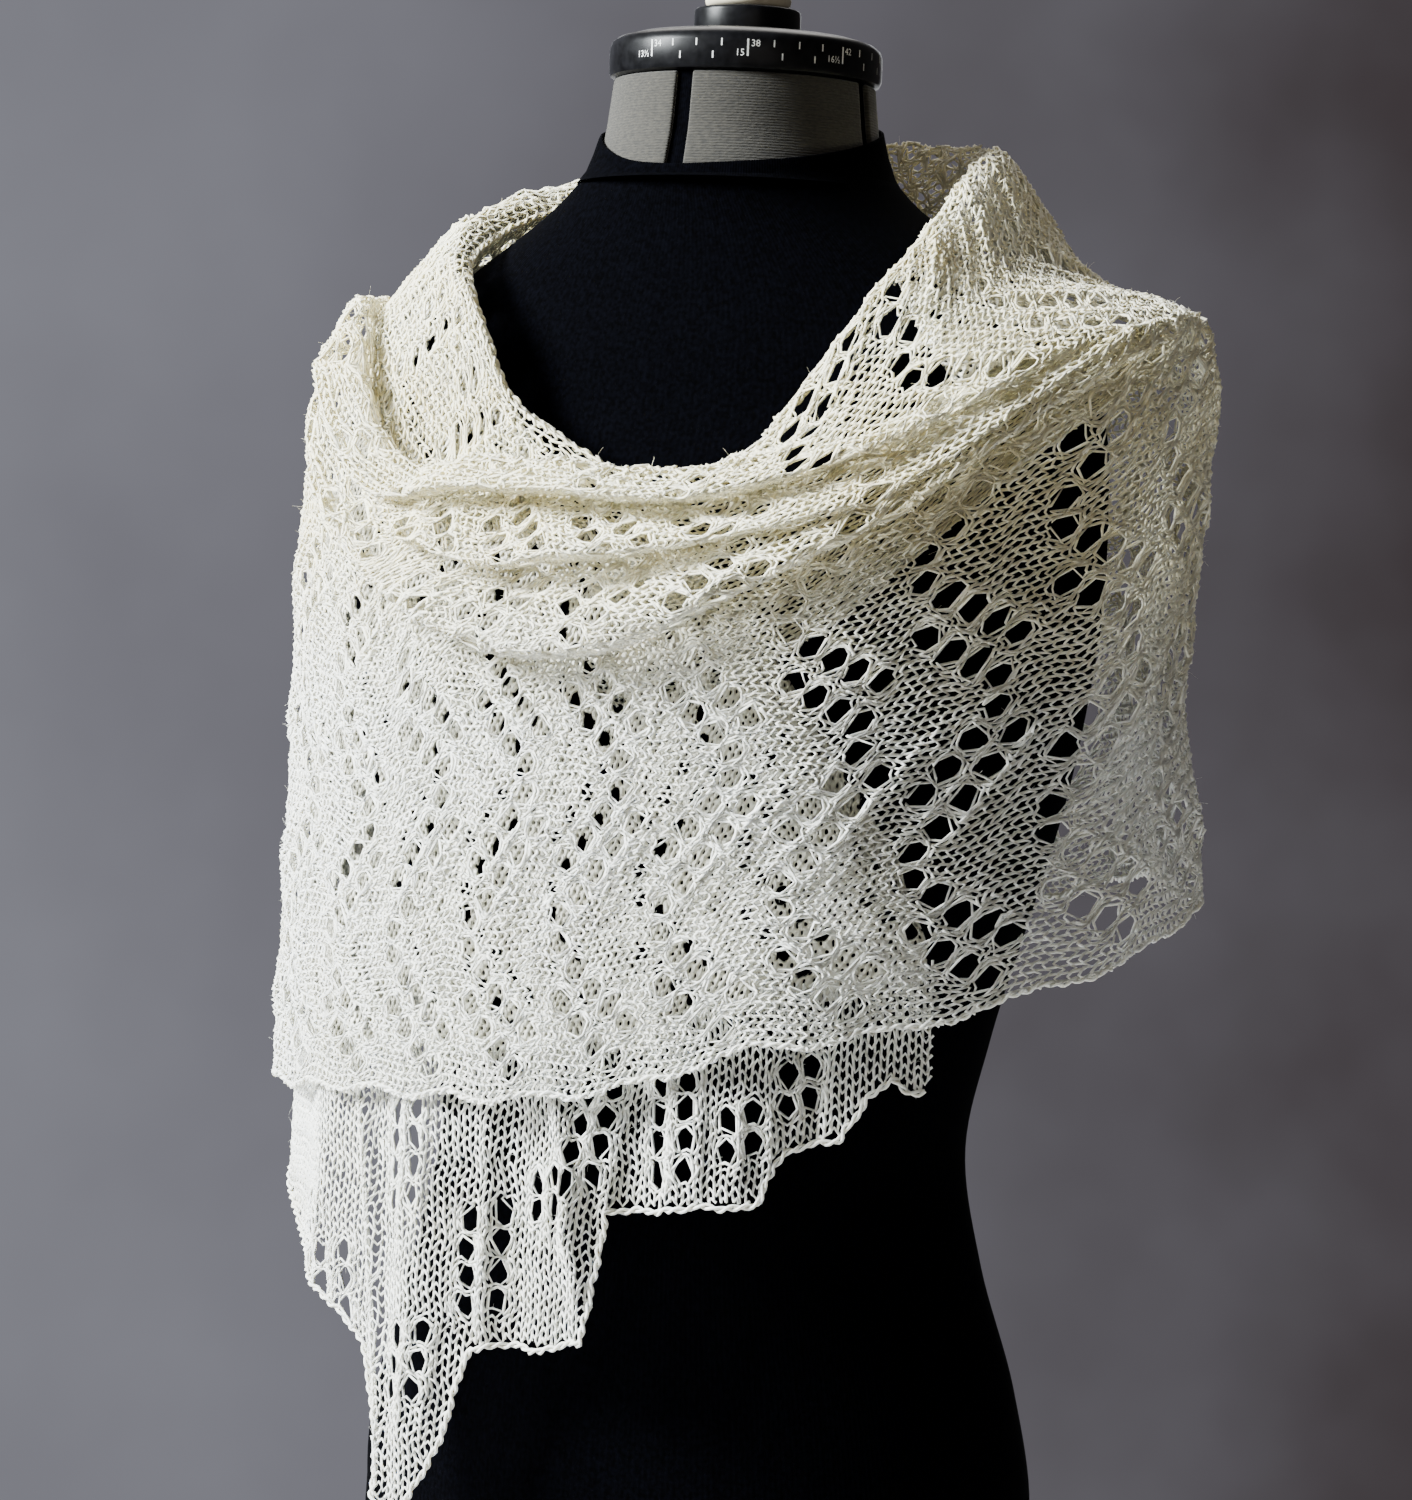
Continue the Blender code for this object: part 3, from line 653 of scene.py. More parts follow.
yarnSockets = {
    "Yarn radius": "NodeSocketFloat",
    "Yarn sides": "NodeSocketInt",
    "Yarn finish": "NodeSocketMaterial",
}
yarnNodes = {
    "given": "NodeGroupInput",
    "curve": "GeometryNodeMeshToCurve",
    "thickness": "GeometryNodeInputNamedAttribute",
    "ring": "GeometryNodeCurvePrimitiveCircle",
    "tube": "GeometryNodeCurveToMesh",
    "smooth": "GeometryNodeSetShadeSmooth",
    "real": "GeometryNodeRealizeInstances",
    "paint": "GeometryNodeSetMaterial",
    "result": "NodeGroupOutput",
}
yarnLinks = (
    ("given", "Geometry", "curve", "Mesh"),
    ("given", "Yarn radius", "ring", "Radius"),
    ("given", "Yarn sides", "ring", "Resolution"),
    ("curve", "Curve", "tube", "Curve"),
    ("ring", "Curve", "tube", "Profile Curve"),
    ("thickness", "Attribute", "tube", "Scale"),
    ("tube", "Mesh", "smooth", "Geometry"),
    ("smooth", "Geometry", "real", "Geometry"),
    ("real", "Geometry", "paint", "Geometry"),
    ("given", "Yarn finish", "paint", "Material"),
    ("paint", "Geometry", "result", "Geometry"),
)


def yarnTree():  # lays a yarn of a few sides along every path of edges
    tree = bpy.data.node_groups.new("yarnAlongPaths", "GeometryNodeTree")
    face = tree.interface
    face.new_socket("Geometry", in_out="INPUT", socket_type="NodeSocketGeometry")
    identifiers = {
        name: face.new_socket(name, in_out="INPUT", socket_type=kind).identifier
        for name, kind in yarnSockets.items()
    }
    face.new_socket("Geometry", in_out="OUTPUT", socket_type="NodeSocketGeometry")
    nodes = {name: tree.nodes.new(kind) for name, kind in yarnNodes.items()}
    nodes["thickness"].inputs["Name"].default_value = "thickness"
    nodes["tube"].inputs["Fill Caps"].default_value = True
    for source, output, target, socket in yarnLinks:
        tree.links.new(nodes[source].outputs[output], nodes[target].inputs[socket])
    return tree, identifiers


def newObject(name, mesh, finish=None):
    made = bpy.data.objects.new(name, mesh)
    if finish is not None:
        mesh.materials.append(finish)
    bpy.context.scene.collection.objects.link(made)
    return made


def appliedMesh(made):  # what an object's modifiers or letters make, as a mesh without the object
    graph = bpy.context.evaluated_depsgraph_get()
    plain = bpy.data.meshes.new_from_object(made.evaluated_get(graph), depsgraph=graph)
    bpy.data.objects.remove(made)
    return plain


def layYarn(name, mesh, radius, sides, finish):
    tree, identifiers = yarnTree()
    path = newObject(name + "Path", mesh)
    maker = path.modifiers.new("yarn", "NODES")
    maker.node_group = tree
    for socket, value in zip(yarnSockets, (radius, sides, finish)):
        maker[identifiers[socket]] = value
    plain = appliedMesh(path)
    plain.name = name
    bpy.data.node_groups.remove(tree)
    return newObject(name, plain)


def knittedParts(name, net, finish, seed):  # the net's yarn and its hairs
    yarn = layYarn(name + "Net", netMesh(name, *net), knit["yarnRadius"], knit["yarnSides"], finish)
    return [yarn, addHairs(name, net, finish, seed)]


def joinPieces(name, pieces):  # one mesh of several
    bm = bmesh.new()
    finishes = []
    for piece in pieces:
        first = len(bm.faces)
        bm.from_mesh(piece.data)
        bm.faces.ensure_lookup_table()
        finish = piece.data.materials[0]
        if finish not in finishes:
            finishes.append(finish)
        for face in bm.faces[first:]:
            face.material_index = finishes.index(finish)
        bpy.data.objects.remove(piece)
    mesh = bpy.data.meshes.new(name)
    bm.to_mesh(mesh)
    bm.free()
    for finish in finishes:
        mesh.materials.append(finish)
    return newObject(name, mesh)


# The stole

stole = {
    "stitches": 60,
    "courseTurn": 1.35,  # degrees between courses, from the seam on
    "gatherRadius": 122 * mm,  # where the cloth is nearer the axis, every second course stops
    "endStep": 7.0,  # degrees by which the steps of the wrap's short edge stand out
    "endSteps": 5,
}
selvedge = {"twist": 0.85 * mm, "pitch": 11.5 * mm, "wander": 0.45 * mm, "yarnRadius": 0.74 * mm, "sides": 5, "step": 1.3 * mm}


def azimuthOf(course):  # courses run from the left shoulder across the front, and below 0 over the back
    return wound["seam"] - course * stole["courseTurn"]


def gatherLimit(fabric, first, last):
    radius = np.hypot(fabric.grid[..., 0], fabric.grid[..., 1])
    narrow = (radius < stole["gatherRadius"]).sum(1) / 4.0
    rows = np.round((np.arange(first, last) - fabric.first) * fabric.perCourse).astype(int)
    return narrow[np.clip(rows, 0, len(narrow) - 1)]


def selvedgeYarn(name, path, finish):  # two strands twisted round each other along an edge
    path = np.asarray(path)
    run = np.concatenate([[0], np.linalg.norm(np.diff(path, axis=0), axis=1).cumsum()])
    where = np.arange(0, run[-1], selvedge["step"])
    line = np.stack([np.interp(where, run, path[:, k]) for k in range(3)], -1)
    along = np.gradient(line, axis=0)
    along /= np.maximum(np.linalg.norm(along, axis=1), 1e-9)[:, None]
    outward = np.stack([line[:, 0], line[:, 1], np.full(len(line), 0.02)], -1)
    side = np.cross(along, outward)
    side /= np.maximum(np.linalg.norm(side, axis=1), 1e-9)[:, None]
    rise = np.cross(side, along)
    wander = selvedge["wander"] * (np.sin(where * 410) + 0.8 * np.sin(where * 173 + 1) + 0.6 * np.sin(where * 860 + 2))
    line = line + wander[:, None] * side
    strands = []
    for start in (0, math.pi):
        turn = where / selvedge["pitch"] * 2 * math.pi + start
        strands.append(line + selvedge["twist"] * (np.cos(turn)[:, None] * side + np.sin(turn)[:, None] * rise))
    return layYarn(name, linesMesh(name, strands), selvedge["yarnRadius"], selvedge["sides"], finish)


def declareCloth(made, node, flat):
    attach(made, "root")
    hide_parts(node)
    print(f"scene: {made.name} laid, {len(made.data.polygons)} faces")


def flatSize(fabric, first, last):  # the stole's width, and the length that gives this stretch its real area
    grid = fabric.grid[round((first - fabric.first) * 2):round((last - fabric.first) * 2) + 1]
    cell = np.cross(np.diff(grid, axis=0)[:, :-1], np.diff(grid, axis=1)[:-1])
    width = stole["stitches"] * knit["gaugeAcross"]
    return width, float(np.linalg.norm(cell, axis=2).sum()) / width


def shortEdge(v):  # how far the steps of the wrap's short edge fall back, in courses
    tooth = np.abs((v / stole["stitches"] * stole["endSteps"]) % 1 - 0.5) * 2
    return tooth * stole["endStep"] / stole["courseTurn"]


def makeStretches(finish):
    wrap, inner = Cloth(wrapShape), Cloth(innerShape)
    stitches = stole["stitches"]
    stretches = (
        ("shawlLeftShoulder", "shawl_left_shoulder", wrap, 0, 44),
        ("shawlFrontLeft", "shawl_front", wrap, 44, 90),
        ("shawlFrontRight", "shawl_front", wrap, 90, 135),
        ("shawlWrapEnd", "shawl_wrap_end", wrap, 135, 196),
        ("shawlBackLeft", "shawl_back_left", inner, -50, 0),
        ("shawlBackRight", "shawl_back_right", inner, -99, -50),
    )
    for seed, (name, node, cloth, first, last) in enumerate(stretches):
        fabric = woundFabric(cloth, first - 3, last + 3, stitches)
        isEnd = node == "shawl_wrap_end"
        keep = (lambda u, v: u < 195.5 - shortEdge(v)) if isEnd else None
        eyelets = chevronEyelets(first, last, stitches)
        gathered = gatherLimit(fabric, first, last)
        if node == "shawl_left_shoulder":
            eyelets = [(u, v, radius * (0.72 if v < 24 else 1)) for u, v, radius in eyelets if v > 7]
        net = knitNet(fabric, first, last, stitches, eyelets, keep, gathered, seed, None, laceRelief)
        parts = [layYarn(name + "Net", netMesh(name, *net), knit["yarnRadius"], knit["yarnSides"], finish)]
        parts.append(addHairs(name, net, finish, seed))
        ends = np.linspace(first, last, (last - first) * 3)
        if isEnd:
            v = np.linspace(0, stitches, 400)
            step = 195.5 - shortEdge(v)
            ends = np.linspace(first, 195.5 - shortEdge(np.zeros(1))[0], 160)
            parts.append(selvedgeYarn(name + "Steps", fabric.place(step, v, knit["set"]), finish))
        for v in (0.15, stitches - 0.15):
            parts.append(selvedgeYarn(name + "Edge", fabric.place(ends, v, knit["set"]), finish))
        size = flatSize(fabric, first, last)
        print(f"scene: {name} is cut {size[0]:.3f} by {size[1]:.3f} m")
        declareCloth(joinPieces(name, parts), node, size)
    return wrap, inner


# The under end: its collar over the right shoulder, the hidden part, and the end that hangs free

underEnd = {
    "collarBelow": 34 * mm,  # how far the net runs on under the wrap's edge
    "hangAbove": 24 * mm,  # how far it runs up behind the wrap's hem
    "hangFirst": 262.0,  # azimuths of the hanging net
    "hangLast": 418.0,
    "hangTop": 0.612,
    "hangLow": 0.346,
    "gauge": (4.5 * mm, 5.6 * mm),
    "linerThick": 0.8 * mm,
    "linerStep": 1.6,  # degrees
    "linerRows": 26,
    "ladders": (  # azimuth, top, rows, degrees between the two columns, lean of the columns in degrees
        (-29, 522, 4, 6.0, 0.0),
        (-12.5, 482, 4, 5.6, -1.0),
        (-25.5, 428, 3, 5.6, -1.5),
        (-57, 470, 3, 4.0, 3.0),
        (0, 502, 2, 4.4, 0.0),
        (9.5, 541, 4, 4.4, -4.0),
        (41, 555, 2, 3.4, 0.0),
        (32.5, 536, 2, 3.6, 0.0),
        (-48, 452, 3, 5.0, 2.0),
        (22, 548, 4, 4.4, 0.0),
    ),
    "rowStep": 12.4,  # mm between a ladder's rows
    "holeRadius": 3.9 * mm,
    "ladderRibs": (0.0, 2.2),  # stitches from a ladder's middle to the ribs along it
    "ribLift": 1.7 * mm,
    # creases that lean: azimuth at 530 mm, azimuth at 350 mm, half width in degrees, lift in mm
    "creases": ((318.2, 329.0, 1.5, 5.0), (362.0, 373.5, 2.2, 5.5), (347.0, 349.0, 1.8, 3.0), (384.0, 381.0, 2.0, 2.5)),
}


def outlineHeight(azimuth):
    stations = np.array([row[0] for row in endOutline], float)
    return np.interp(azimuth, stations, np.array([row[1] for row in endOutline]) * mm)


def wrapHeights(wrap, azimuth):  # the outer stretch's crest and hem over an azimuth of the inner one
    around = azimuth - 360.0 * (azimuth > 210)
    return wrap.column("crestZ", around), wrap.column("hemZ", around)


def hangingPlace(inner, azimuth, height):
    foot, hem = inner.column("footZ", azimuth), inner.column("hemZ", azimuth)
    level = np.clip(4 + 2 * (foot - height) / (foot - hem), 4, 6)
    radius = drumRadius(azimuth, *wound["innerDrum"]) + inner.drapeLift(azimuth, level)
    for high, low, half, lift in underEnd["creases"]:
        radius += lift * mm * bump((azimuth - low - (high - low) * (height / mm - 350) / 180) / half)
    turn = np.radians(azimuth)
    return np.stack([radius * np.sin(turn), -radius * np.cos(turn), height], -1)


def makeCollar(wrap, inner, finish):
    stitches = stole["stitches"]
    first, last = -222, -99
    fabric = woundFabric(inner, first - 3, last + 3, stitches)
    azimuths = fabric.first + np.arange(len(fabric.grid)) / fabric.perCourse
    crest = wrapHeights(wrap, azimuthOf(azimuths))[0]

    def keep(u, v):
        row = np.clip((u - fabric.first) * fabric.perCourse, 0, len(crest) - 1).astype(int)
        height = fabric.read(fabric.grid, u, v)[..., 2]
        return height > crest[row] - underEnd["collarBelow"]

    eyelets = [(u, v, radius * 0.7) for u, v, radius in chevronEyelets(first, last, stitches)]
    gathered = gatherLimit(fabric, first, last)
    net = knitNet(fabric, first, last, stitches, eyelets, keep, gathered, 11, None, laceRelief)
    parts = [layYarn("collarNet", netMesh("collar", *net), knit["yarnRadius"], knit["yarnSides"], finish)]
    parts.append(addHairs("collar", net, finish, 11))
    ends = np.linspace(-188, last, 360)
    parts.append(selvedgeYarn("collarEdge", fabric.place(ends, 0.15, knit["set"]), finish))
    return parts, net[1].sum() / knit["samples"]


def underSheet(name, outer, courseOf, finish):  # a thin sheet a little way in from a grid of places
    fabric = Fabric(outer, 0, 1)
    skin = [outer + fabric.normal * depth for depth in (-3.4 * mm, -3.4 * mm - underEnd["linerThick"])]
    count, down = outer.shape[:2]
    points = np.concatenate([side.reshape(-1, 3) for side in skin])
    faces = []

    def at(side, i, j):
        return side * count * down + i * down + j

    for i in range(count - 1):
        for j in range(down - 1):
            faces.append((at(0, i, j), at(0, i, j + 1), at(0, i + 1, j + 1), at(0, i + 1, j)))
            faces.append((at(1, i, j), at(1, i + 1, j), at(1, i + 1, j + 1), at(1, i, j + 1)))
    ring = [(i, 0) for i in range(count)] + [(count - 1, j) for j in range(1, down)]
    ring += [(i, down - 1) for i in range(count - 2, -1, -1)] + [(0, j) for j in range(down - 2, 0, -1)]
    for (i, j), (k, m) in zip(ring, ring[1:] + ring[:1]):
        faces.append((at(0, i, j), at(0, k, m), at(1, k, m), at(1, i, j)))
    mesh = bpy.data.meshes.new(name)
    mesh.from_pydata(points.tolist(), [], faces)
    uv = mesh.uv_layers.new(name="stitches")
    lengths = np.linalg.norm(np.diff(outer, axis=1), axis=2)
    upFromHem = np.concatenate([np.zeros((count, 1)), lengths[:, ::-1].cumsum(1)], 1)[:, ::-1]
    stitchOf = stole["stitches"] - upFromHem / knit["gaugeAcross"] / 1.05
    for loop in mesh.loops:
        i, j = divmod(loop.vertex_index % (count * down), down)
        uv.data[loop.index].uv = (courseOf[i], stitchOf[i, j])
    bm = bmesh.new()
    bm.from_mesh(mesh)
    bmesh.ops.recalc_face_normals(bm, faces=bm.faces)
    bm.to_mesh(mesh)
    bm.free()
    mesh.shade_smooth()
    return newObject(name, mesh, finish)


def sheetBetween(cloth, azimuths, tops, lows, rows):  # places on the cloth between two heights
    fine = np.linspace(0.9, 6, 340)
    grid = []
    for azimuth, top, low in zip(azimuths, tops, lows):
        line = cloth.points(np.full(340, azimuth), fine)
        falling = np.minimum.accumulate(line[:, 2])
        top = min(top, line[0, 2] - 0.003)
        heights = np.linspace(top, min(low, top - 0.01), rows)
        grid.append(np.stack([np.interp(-heights, -falling, line[:, k]) for k in range(3)], -1))
    return np.array(grid)


def makeLiner(wrap, inner, finish):  # the part that the wrap hides, and a second layer behind its collar
    azimuths = np.arange(252, 417, underEnd["linerStep"])
    crest, hem = wrapHeights(wrap, azimuths)
    behindCollar = np.clip((348 - azimuths) / 10, 0, 1) * 0.2
    grid = sheetBetween(inner, azimuths, crest - 0.022 + behindCollar, hem + 0.014, underEnd["linerRows"])
    return underSheet("underLiner", grid, (wound["seam"] - azimuths) / stole["courseTurn"], finish)


def makeShoulderLining(wrap, finish):  # the collar's second layer over the left shoulder
    azimuths = np.arange(57.6, 113, underEnd["linerStep"])
    fine = np.linspace(0.45, 2.75, 16)
    grid = np.array([wrap.points(np.full(16, azimuth), fine) for azimuth in azimuths])
    grid[..., 2] -= 1.5 * mm
    made = underSheet("shawlShoulderLining", grid, (wound["seam"] - azimuths) / stole["courseTurn"] + 5, finish)
    declareCloth(made, "shawl_left_shoulder", (0.15, 0.115))


def makeHangingEnd(wrap, inner, finish):
    along, across = underEnd["gauge"]
    start, end = underEnd["hangFirst"], underEnd["hangLast"]
    top, low = underEnd["hangTop"], underEnd["hangLow"]
    turns = np.linspace(start, end, 400)
    middle = hangingPlace(inner, turns, np.full(400, 0.5))
    run = np.concatenate([[0], np.linalg.norm(np.diff(middle, axis=0), axis=1).cumsum()])
    stitches, courses = round(run[-1] / across), round((top - low) / along)
    turnAt = np.interp(np.linspace(0, run[-1], stitches * 4 + 1), run, turns)
    heights = np.linspace(top + 2 * along, low - 2 * along, (courses + 4) * 2 + 1)
    height, turn = np.meshgrid(heights, turnAt, indexing="ij")
    grid = hangingPlace(inner, turn.ravel(), height.ravel()).reshape(*turn.shape, 3)
    fabric = Fabric(grid, -2, 2)
    hem = wrapHeights(wrap, turnAt)[1]
    outline = outlineHeight(turnAt)

    def keep(u, v):
        column = np.clip(np.round(v * 4), 0, len(turnAt) - 1).astype(int)
        height = top - u * along
        return (height < hem[column] + underEnd["hangAbove"]) & (height > outline[column] + 0.8 * mm)

    eyelets, lanes = [], []
    for azimuth, first, rows, apart, lean in underEnd["ladders"]:
        lanes.append([])
        for row in range(rows):
            middle = azimuth % 360 + 360 * (azimuth % 360 < 100) + lean * row / rows
            for side in (-0.5, 0.5):
                u = (top - (first - row * underEnd["rowStep"] + side * 4) * mm) / along
                v = float(np.interp(middle + side * apart, turnAt, np.arange(len(turnAt)) / 4))
                eyelets.append((u, v, underEnd["holeRadius"] * (1 - 0.04 * row)))
            lanes[-1].append(((eyelets[-1][0] + eyelets[-2][0]) / 2, (eyelets[-1][1] + eyelets[-2][1]) / 2))

    def ladderRelief(u, v, stitches):
        ribs = np.zeros(u.shape)
        for lane in lanes:
            courseOf, stitchOf = np.array(lane).T
            within = np.clip((u - courseOf[0] + 2) / 2, 0, 1) * np.clip((courseOf[-1] + 5 - u) / 3, 0, 1)
            for off in underEnd["ladderRibs"]:
                ribs += within * bump((v - np.interp(u, courseOf, stitchOf) - off) / 0.6)
        return ribs * underEnd["ribLift"], 1 + 0.22 * np.minimum(ribs, 1.2)

    net = knitNet(fabric, 0, courses, stitches, eyelets, keep, None, 12, (along, across), ladderRelief)
    parts = [layYarn("hangingNet", netMesh("hanging", *net), knit["yarnRadius"], knit["yarnSides"], finish)]
    parts.append(addHairs("hanging", net, finish, 12))
    edge = np.linspace(266, end - 0.5, 900)
    border = hangingPlace(inner, edge, np.maximum(outlineHeight(edge), low))
    parts.append(selvedgeYarn("hangingEdge", border, finish))
    return parts, net[1].sum() / knit["samples"]


def makeUnderEnd(wrap, inner, yarn, linerFinish):
    collar, collarStitches = makeCollar(wrap, inner, yarn)
    hanging, hangingStitches = makeHangingEnd(wrap, inner, yarn)
    liner = makeLiner(wrap, inner, linerFinish)
    stitchArea = knit["gaugeAlong"] * knit["gaugeAcross"]
    for name, parts, stitches in (
        ("shawlUnderCollar", collar, collarStitches),
        ("shawlHangingEnd", hanging, hangingStitches),
    ):
        made = joinPieces(name, parts)
        area = stitches * stitchArea * 1.15
        declareCloth(made, "shawl_hanging_end", (area / 0.34, 0.34))
    declareCloth(joinPieces("shawlUnderMiddle", [liner]), "shawl_hanging_end", (0.30, 0.44))


def makeFoldLining(wrap, finish):  # the cloth folded in behind the cowl's rolls
    first, last, stitches = 16, 84, 20
    flatShape = dict(wrapShape, rolls=())
    fabric = woundFabric(Cloth(flatShape), first - 3, last + 3, stitches, (2.55, 4.15))
    fabric.grid = fabric.grid + fabric.normal * foldLining["lift"]
    net = knitNet(fabric, first, last, stitches, [], None, None, 21)
    made = layYarn("shawlFoldLining", netMesh("lining", *net), knit["yarnRadius"], knit["yarnSides"], finish)
    declareCloth(made, "shawl_front", (0.112, 0.306))


foldLining = {"lift": -14 * mm}


# The dress form

form = {
    "sections": (  # height, half width, half depth, middle's Y
        (290, 140, 100, 4), (300, 150, 108, 4), (340, 157, 114, 4), (400, 148, 109, 2), (455, 131, 100, -1),
        (505, 122, 95, -2), (555, 132, 98, -3), (620, 152, 106, -6), (665, 165, 111, -8), (700, 172, 113, -9),
        (740, 177, 110, -7), (790, 177, 101, -3), (825, 173, 92, 1), (850, 164, 87, 2), (872, 145, 81, 4),
        (890, 120, 76, 4), (905, 97, 71, 3), (917, 80, 68, 1), (927, 70, 65, 0),
    ),
    "sides": 96,
    "rings": 110,
    "neckCurve": ((927.3, 65), (945, 60.3), (969, 57.5)),  # height and radius
    "panelGap": 7.6,  # degrees between the neck's four panels
    "panelThick": 2.4 * mm,
    # the black cover's upper edge on the neck: azimuth and height
    "coverEdge": (
        (-180, 956), (-130, 953), (-90, 949), (-62, 945), (-40, 937), (-20, 930.5), (0, 928.5), (20, 929.5),
        (45, 932.5), (70, 938), (95, 945), (117, 951), (150, 955), (180, 956),
    ),
    "coverThick": 1.3 * mm,
}


def loftMesh(name, rings, finish):  # rings of places, closed at both ends, with the turn and height as UV
    count, sides = rings.shape[:2]
    points = rings.reshape(-1, 3).tolist()
    faces = []
    for i in range(count - 1):
        for j in range(sides):
            k = (j + 1) % sides
            faces.append((i * sides + j, i * sides + k, (i + 1) * sides + k, (i + 1) * sides + j))
    faces.append(tuple(reversed(range(sides))))
    faces.append(tuple((count - 1) * sides + j for j in range(sides)))
    mesh = bpy.data.meshes.new(name)
    mesh.from_pydata(points, [], faces)
    uv = mesh.uv_layers.new(name="aroundAndUp")
    for face in mesh.polygons:
        turns = [mesh.loops[i].vertex_index % sides for i in face.loop_indices]
        for i, turn in zip(face.loop_indices, turns):
            wrapped = turn + sides if turn == 0 and max(turns) > sides / 2 else turn
            uv.data[i].uv = (wrapped / sides, mesh.vertices[mesh.loops[i].vertex_index].co.z)
    bm = bmesh.new()
    bm.from_mesh(mesh)
    bmesh.ops.recalc_face_normals(bm, faces=bm.faces)
    bm.to_mesh(mesh)
    bm.free()
    mesh.shade_smooth()
    mesh.set_sharp_from_angle(angle=math.radians(38))
    return newObject(name, mesh, finish)


def dressPart(made, node):
    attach(made, "root")
    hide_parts(node)


def neckRadius(height):
    heights, radii = np.array(form["neckCurve"]).T * mm
    return np.interp(height, heights, radii)


def makeCoverEdge(finish):  # where the black cover ends, higher at the neck's sides and back
    turn = np.linspace(-180, 180, 144, endpoint=False)
    stations, heights = np.array(form["coverEdge"], float).T
    top = smoothCurve(turn, stations, heights) * mm
    thick, angle = form["coverThick"], np.radians(turn)
    rings = []
    for share, out in (
        (0.0, 5.4), (0.25, 2.6), (0.6, 1.9), (0.9, 1.7), (0.98, 1.5), (1.0, 1.0), (0.98, 0.5), (0.8, 0.25), (0.0, 0.25),
    ):
        height = 923 * mm + (top - 923 * mm) * share
        radius = neckRadius(height) + 0.3 * mm + thick * out
        rings.append(np.stack([radius * np.sin(angle), -radius * np.cos(angle), height], -1))
    return loftMesh("coverEdge", np.array(rings), finish)


def makeTorso(finish):
    rows = np.array(form["sections"], float).T
    heights = np.linspace(rows[0][0], rows[0][-1], form["rings"])
    width, depth, middle = (smoothCurve(heights, rows[0], row) for row in rows[1:])
    turn = np.linspace(0, 2 * math.pi, form["sides"], endpoint=False)
    rings = np.stack([
        width[:, None] * np.sin(turn),
        middle[:, None] - depth[:, None] * np.cos(turn),
        heights[:, None] + 0 * turn,
    ], -1) * mm
    parts = [loftMesh("formTorso", rings, finish), makeCoverEdge(finish)]
    dressPart(joinPieces("formTorso", parts), "form_torso")


def turnedMesh(name, profile, finish, steps=96):  # a profile of (radius, height) turned round the axis
    turn = np.linspace(0, 2 * math.pi, steps, endpoint=False)
    rings = np.array([[(r * math.sin(t), -r * math.cos(t), z) for t in turn] for r, z in profile])
    return loftMesh(name, rings, finish)


def makeNeck(fabricFinish, gapFinish):
    curve = form["neckCurve"]
    low, top = curve[0][0] * mm, curve[-1][0] * mm
    core = [((radius - 2.2) * mm, height * mm) for height, radius in curve]
    parts = [turnedMesh("neckCore", core, gapFinish)]
    for quarter in range(4):
        start, end = (quarter * 90 + form["panelGap"] / 2, quarter * 90 + 90 - form["panelGap"] / 2)
        turns, heights = np.radians(np.linspace(start, end, 30)), np.linspace(low, top, 9)
        across, up = len(turns), len(heights)
        turn, height = np.meshgrid(turns, heights)
        radius = neckRadius(height)
        grid = np.stack([radius * np.sin(turn), -radius * np.cos(turn), height], -1)
        faces = [
            (i * across + j, i * across + j + 1, (i + 1) * across + j + 1, (i + 1) * across + j)
            for i in range(up - 1)
            for j in range(across - 1)
        ]
        mesh = bpy.data.meshes.new("neckPanel")
        mesh.from_pydata(grid.reshape(-1, 3).tolist(), [], faces)
        panel = newObject("neckPanel", mesh, fabricFinish)
        wall = panel.modifiers.new("thick", "SOLIDIFY")
        wall.thickness, wall.offset = form["panelThick"], -1
        edge = panel.modifiers.new("edge", "BEVEL")
        edge.width, edge.segments, edge.limit_method = 1.1 * mm, 3, "ANGLE"
        graph = bpy.context.evaluated_depsgraph_get()
        plain = bpy.data.meshes.new_from_object(panel.evaluated_get(graph), depsgraph=graph)
        bpy.data.objects.remove(panel)
        plain.shade_smooth()
        plain.set_sharp_from_angle(angle=math.radians(50))
        parts.append(newObject("neckPanel", plain))
    dressPart(joinPieces("formNeck", parts), "form_neck")


dial = {
    "low": 969.3 * mm,
    "height": 20 * mm,
    # heights above the dial's underside, in mm: its round side's profile as radius and height
    "profile": (
        (20, 0), (57, 0), (59.2, 0.8), (60, 2.6), (60, 12.6), (59.2, 15.2), (56.5, 17.4), (50, 19.2), (44, 20), (20, 20),
    ),
    "firstMark": -15.4,  # azimuth of the first tall mark, at the smallest size
    "markTurn": 43.0,  # degrees between tall marks
    "sizes": (("34", "13\u00bd"), ("38", "15"), ("42", "16\u00bd")),  # over and under each tall mark
    "upperTicks": 4,  # spaces between tall marks in the upper and the lower row
    "lowerTicks": 3,
    "tickWidth": 0.62 * mm,
    "rows": {"tall": (5.6, 12.8), "upper": (9.8, 12.8), "lower": (4.4, 7.4)},
    "wordSize": 4.1 * mm,
}


def dialMark(azimuth, row, width=1.0):  # a pale stroke on the dial's side
    low, high = (dial["low"] + edge * mm for edge in dial["rows"][row])
    radius = 60.12 * mm
    half = math.degrees(dial["tickWidth"] * width / 2 / radius)
    sides = [math.radians(azimuth + side * half) for side in (-1, 1)]
    (a, b), z = ((radius * math.sin(turn), -radius * math.cos(turn)) for turn in sides), (low, high)
    return [(*a, z[0]), (*b, z[0]), (*b, z[1]), (*a, z[1])]


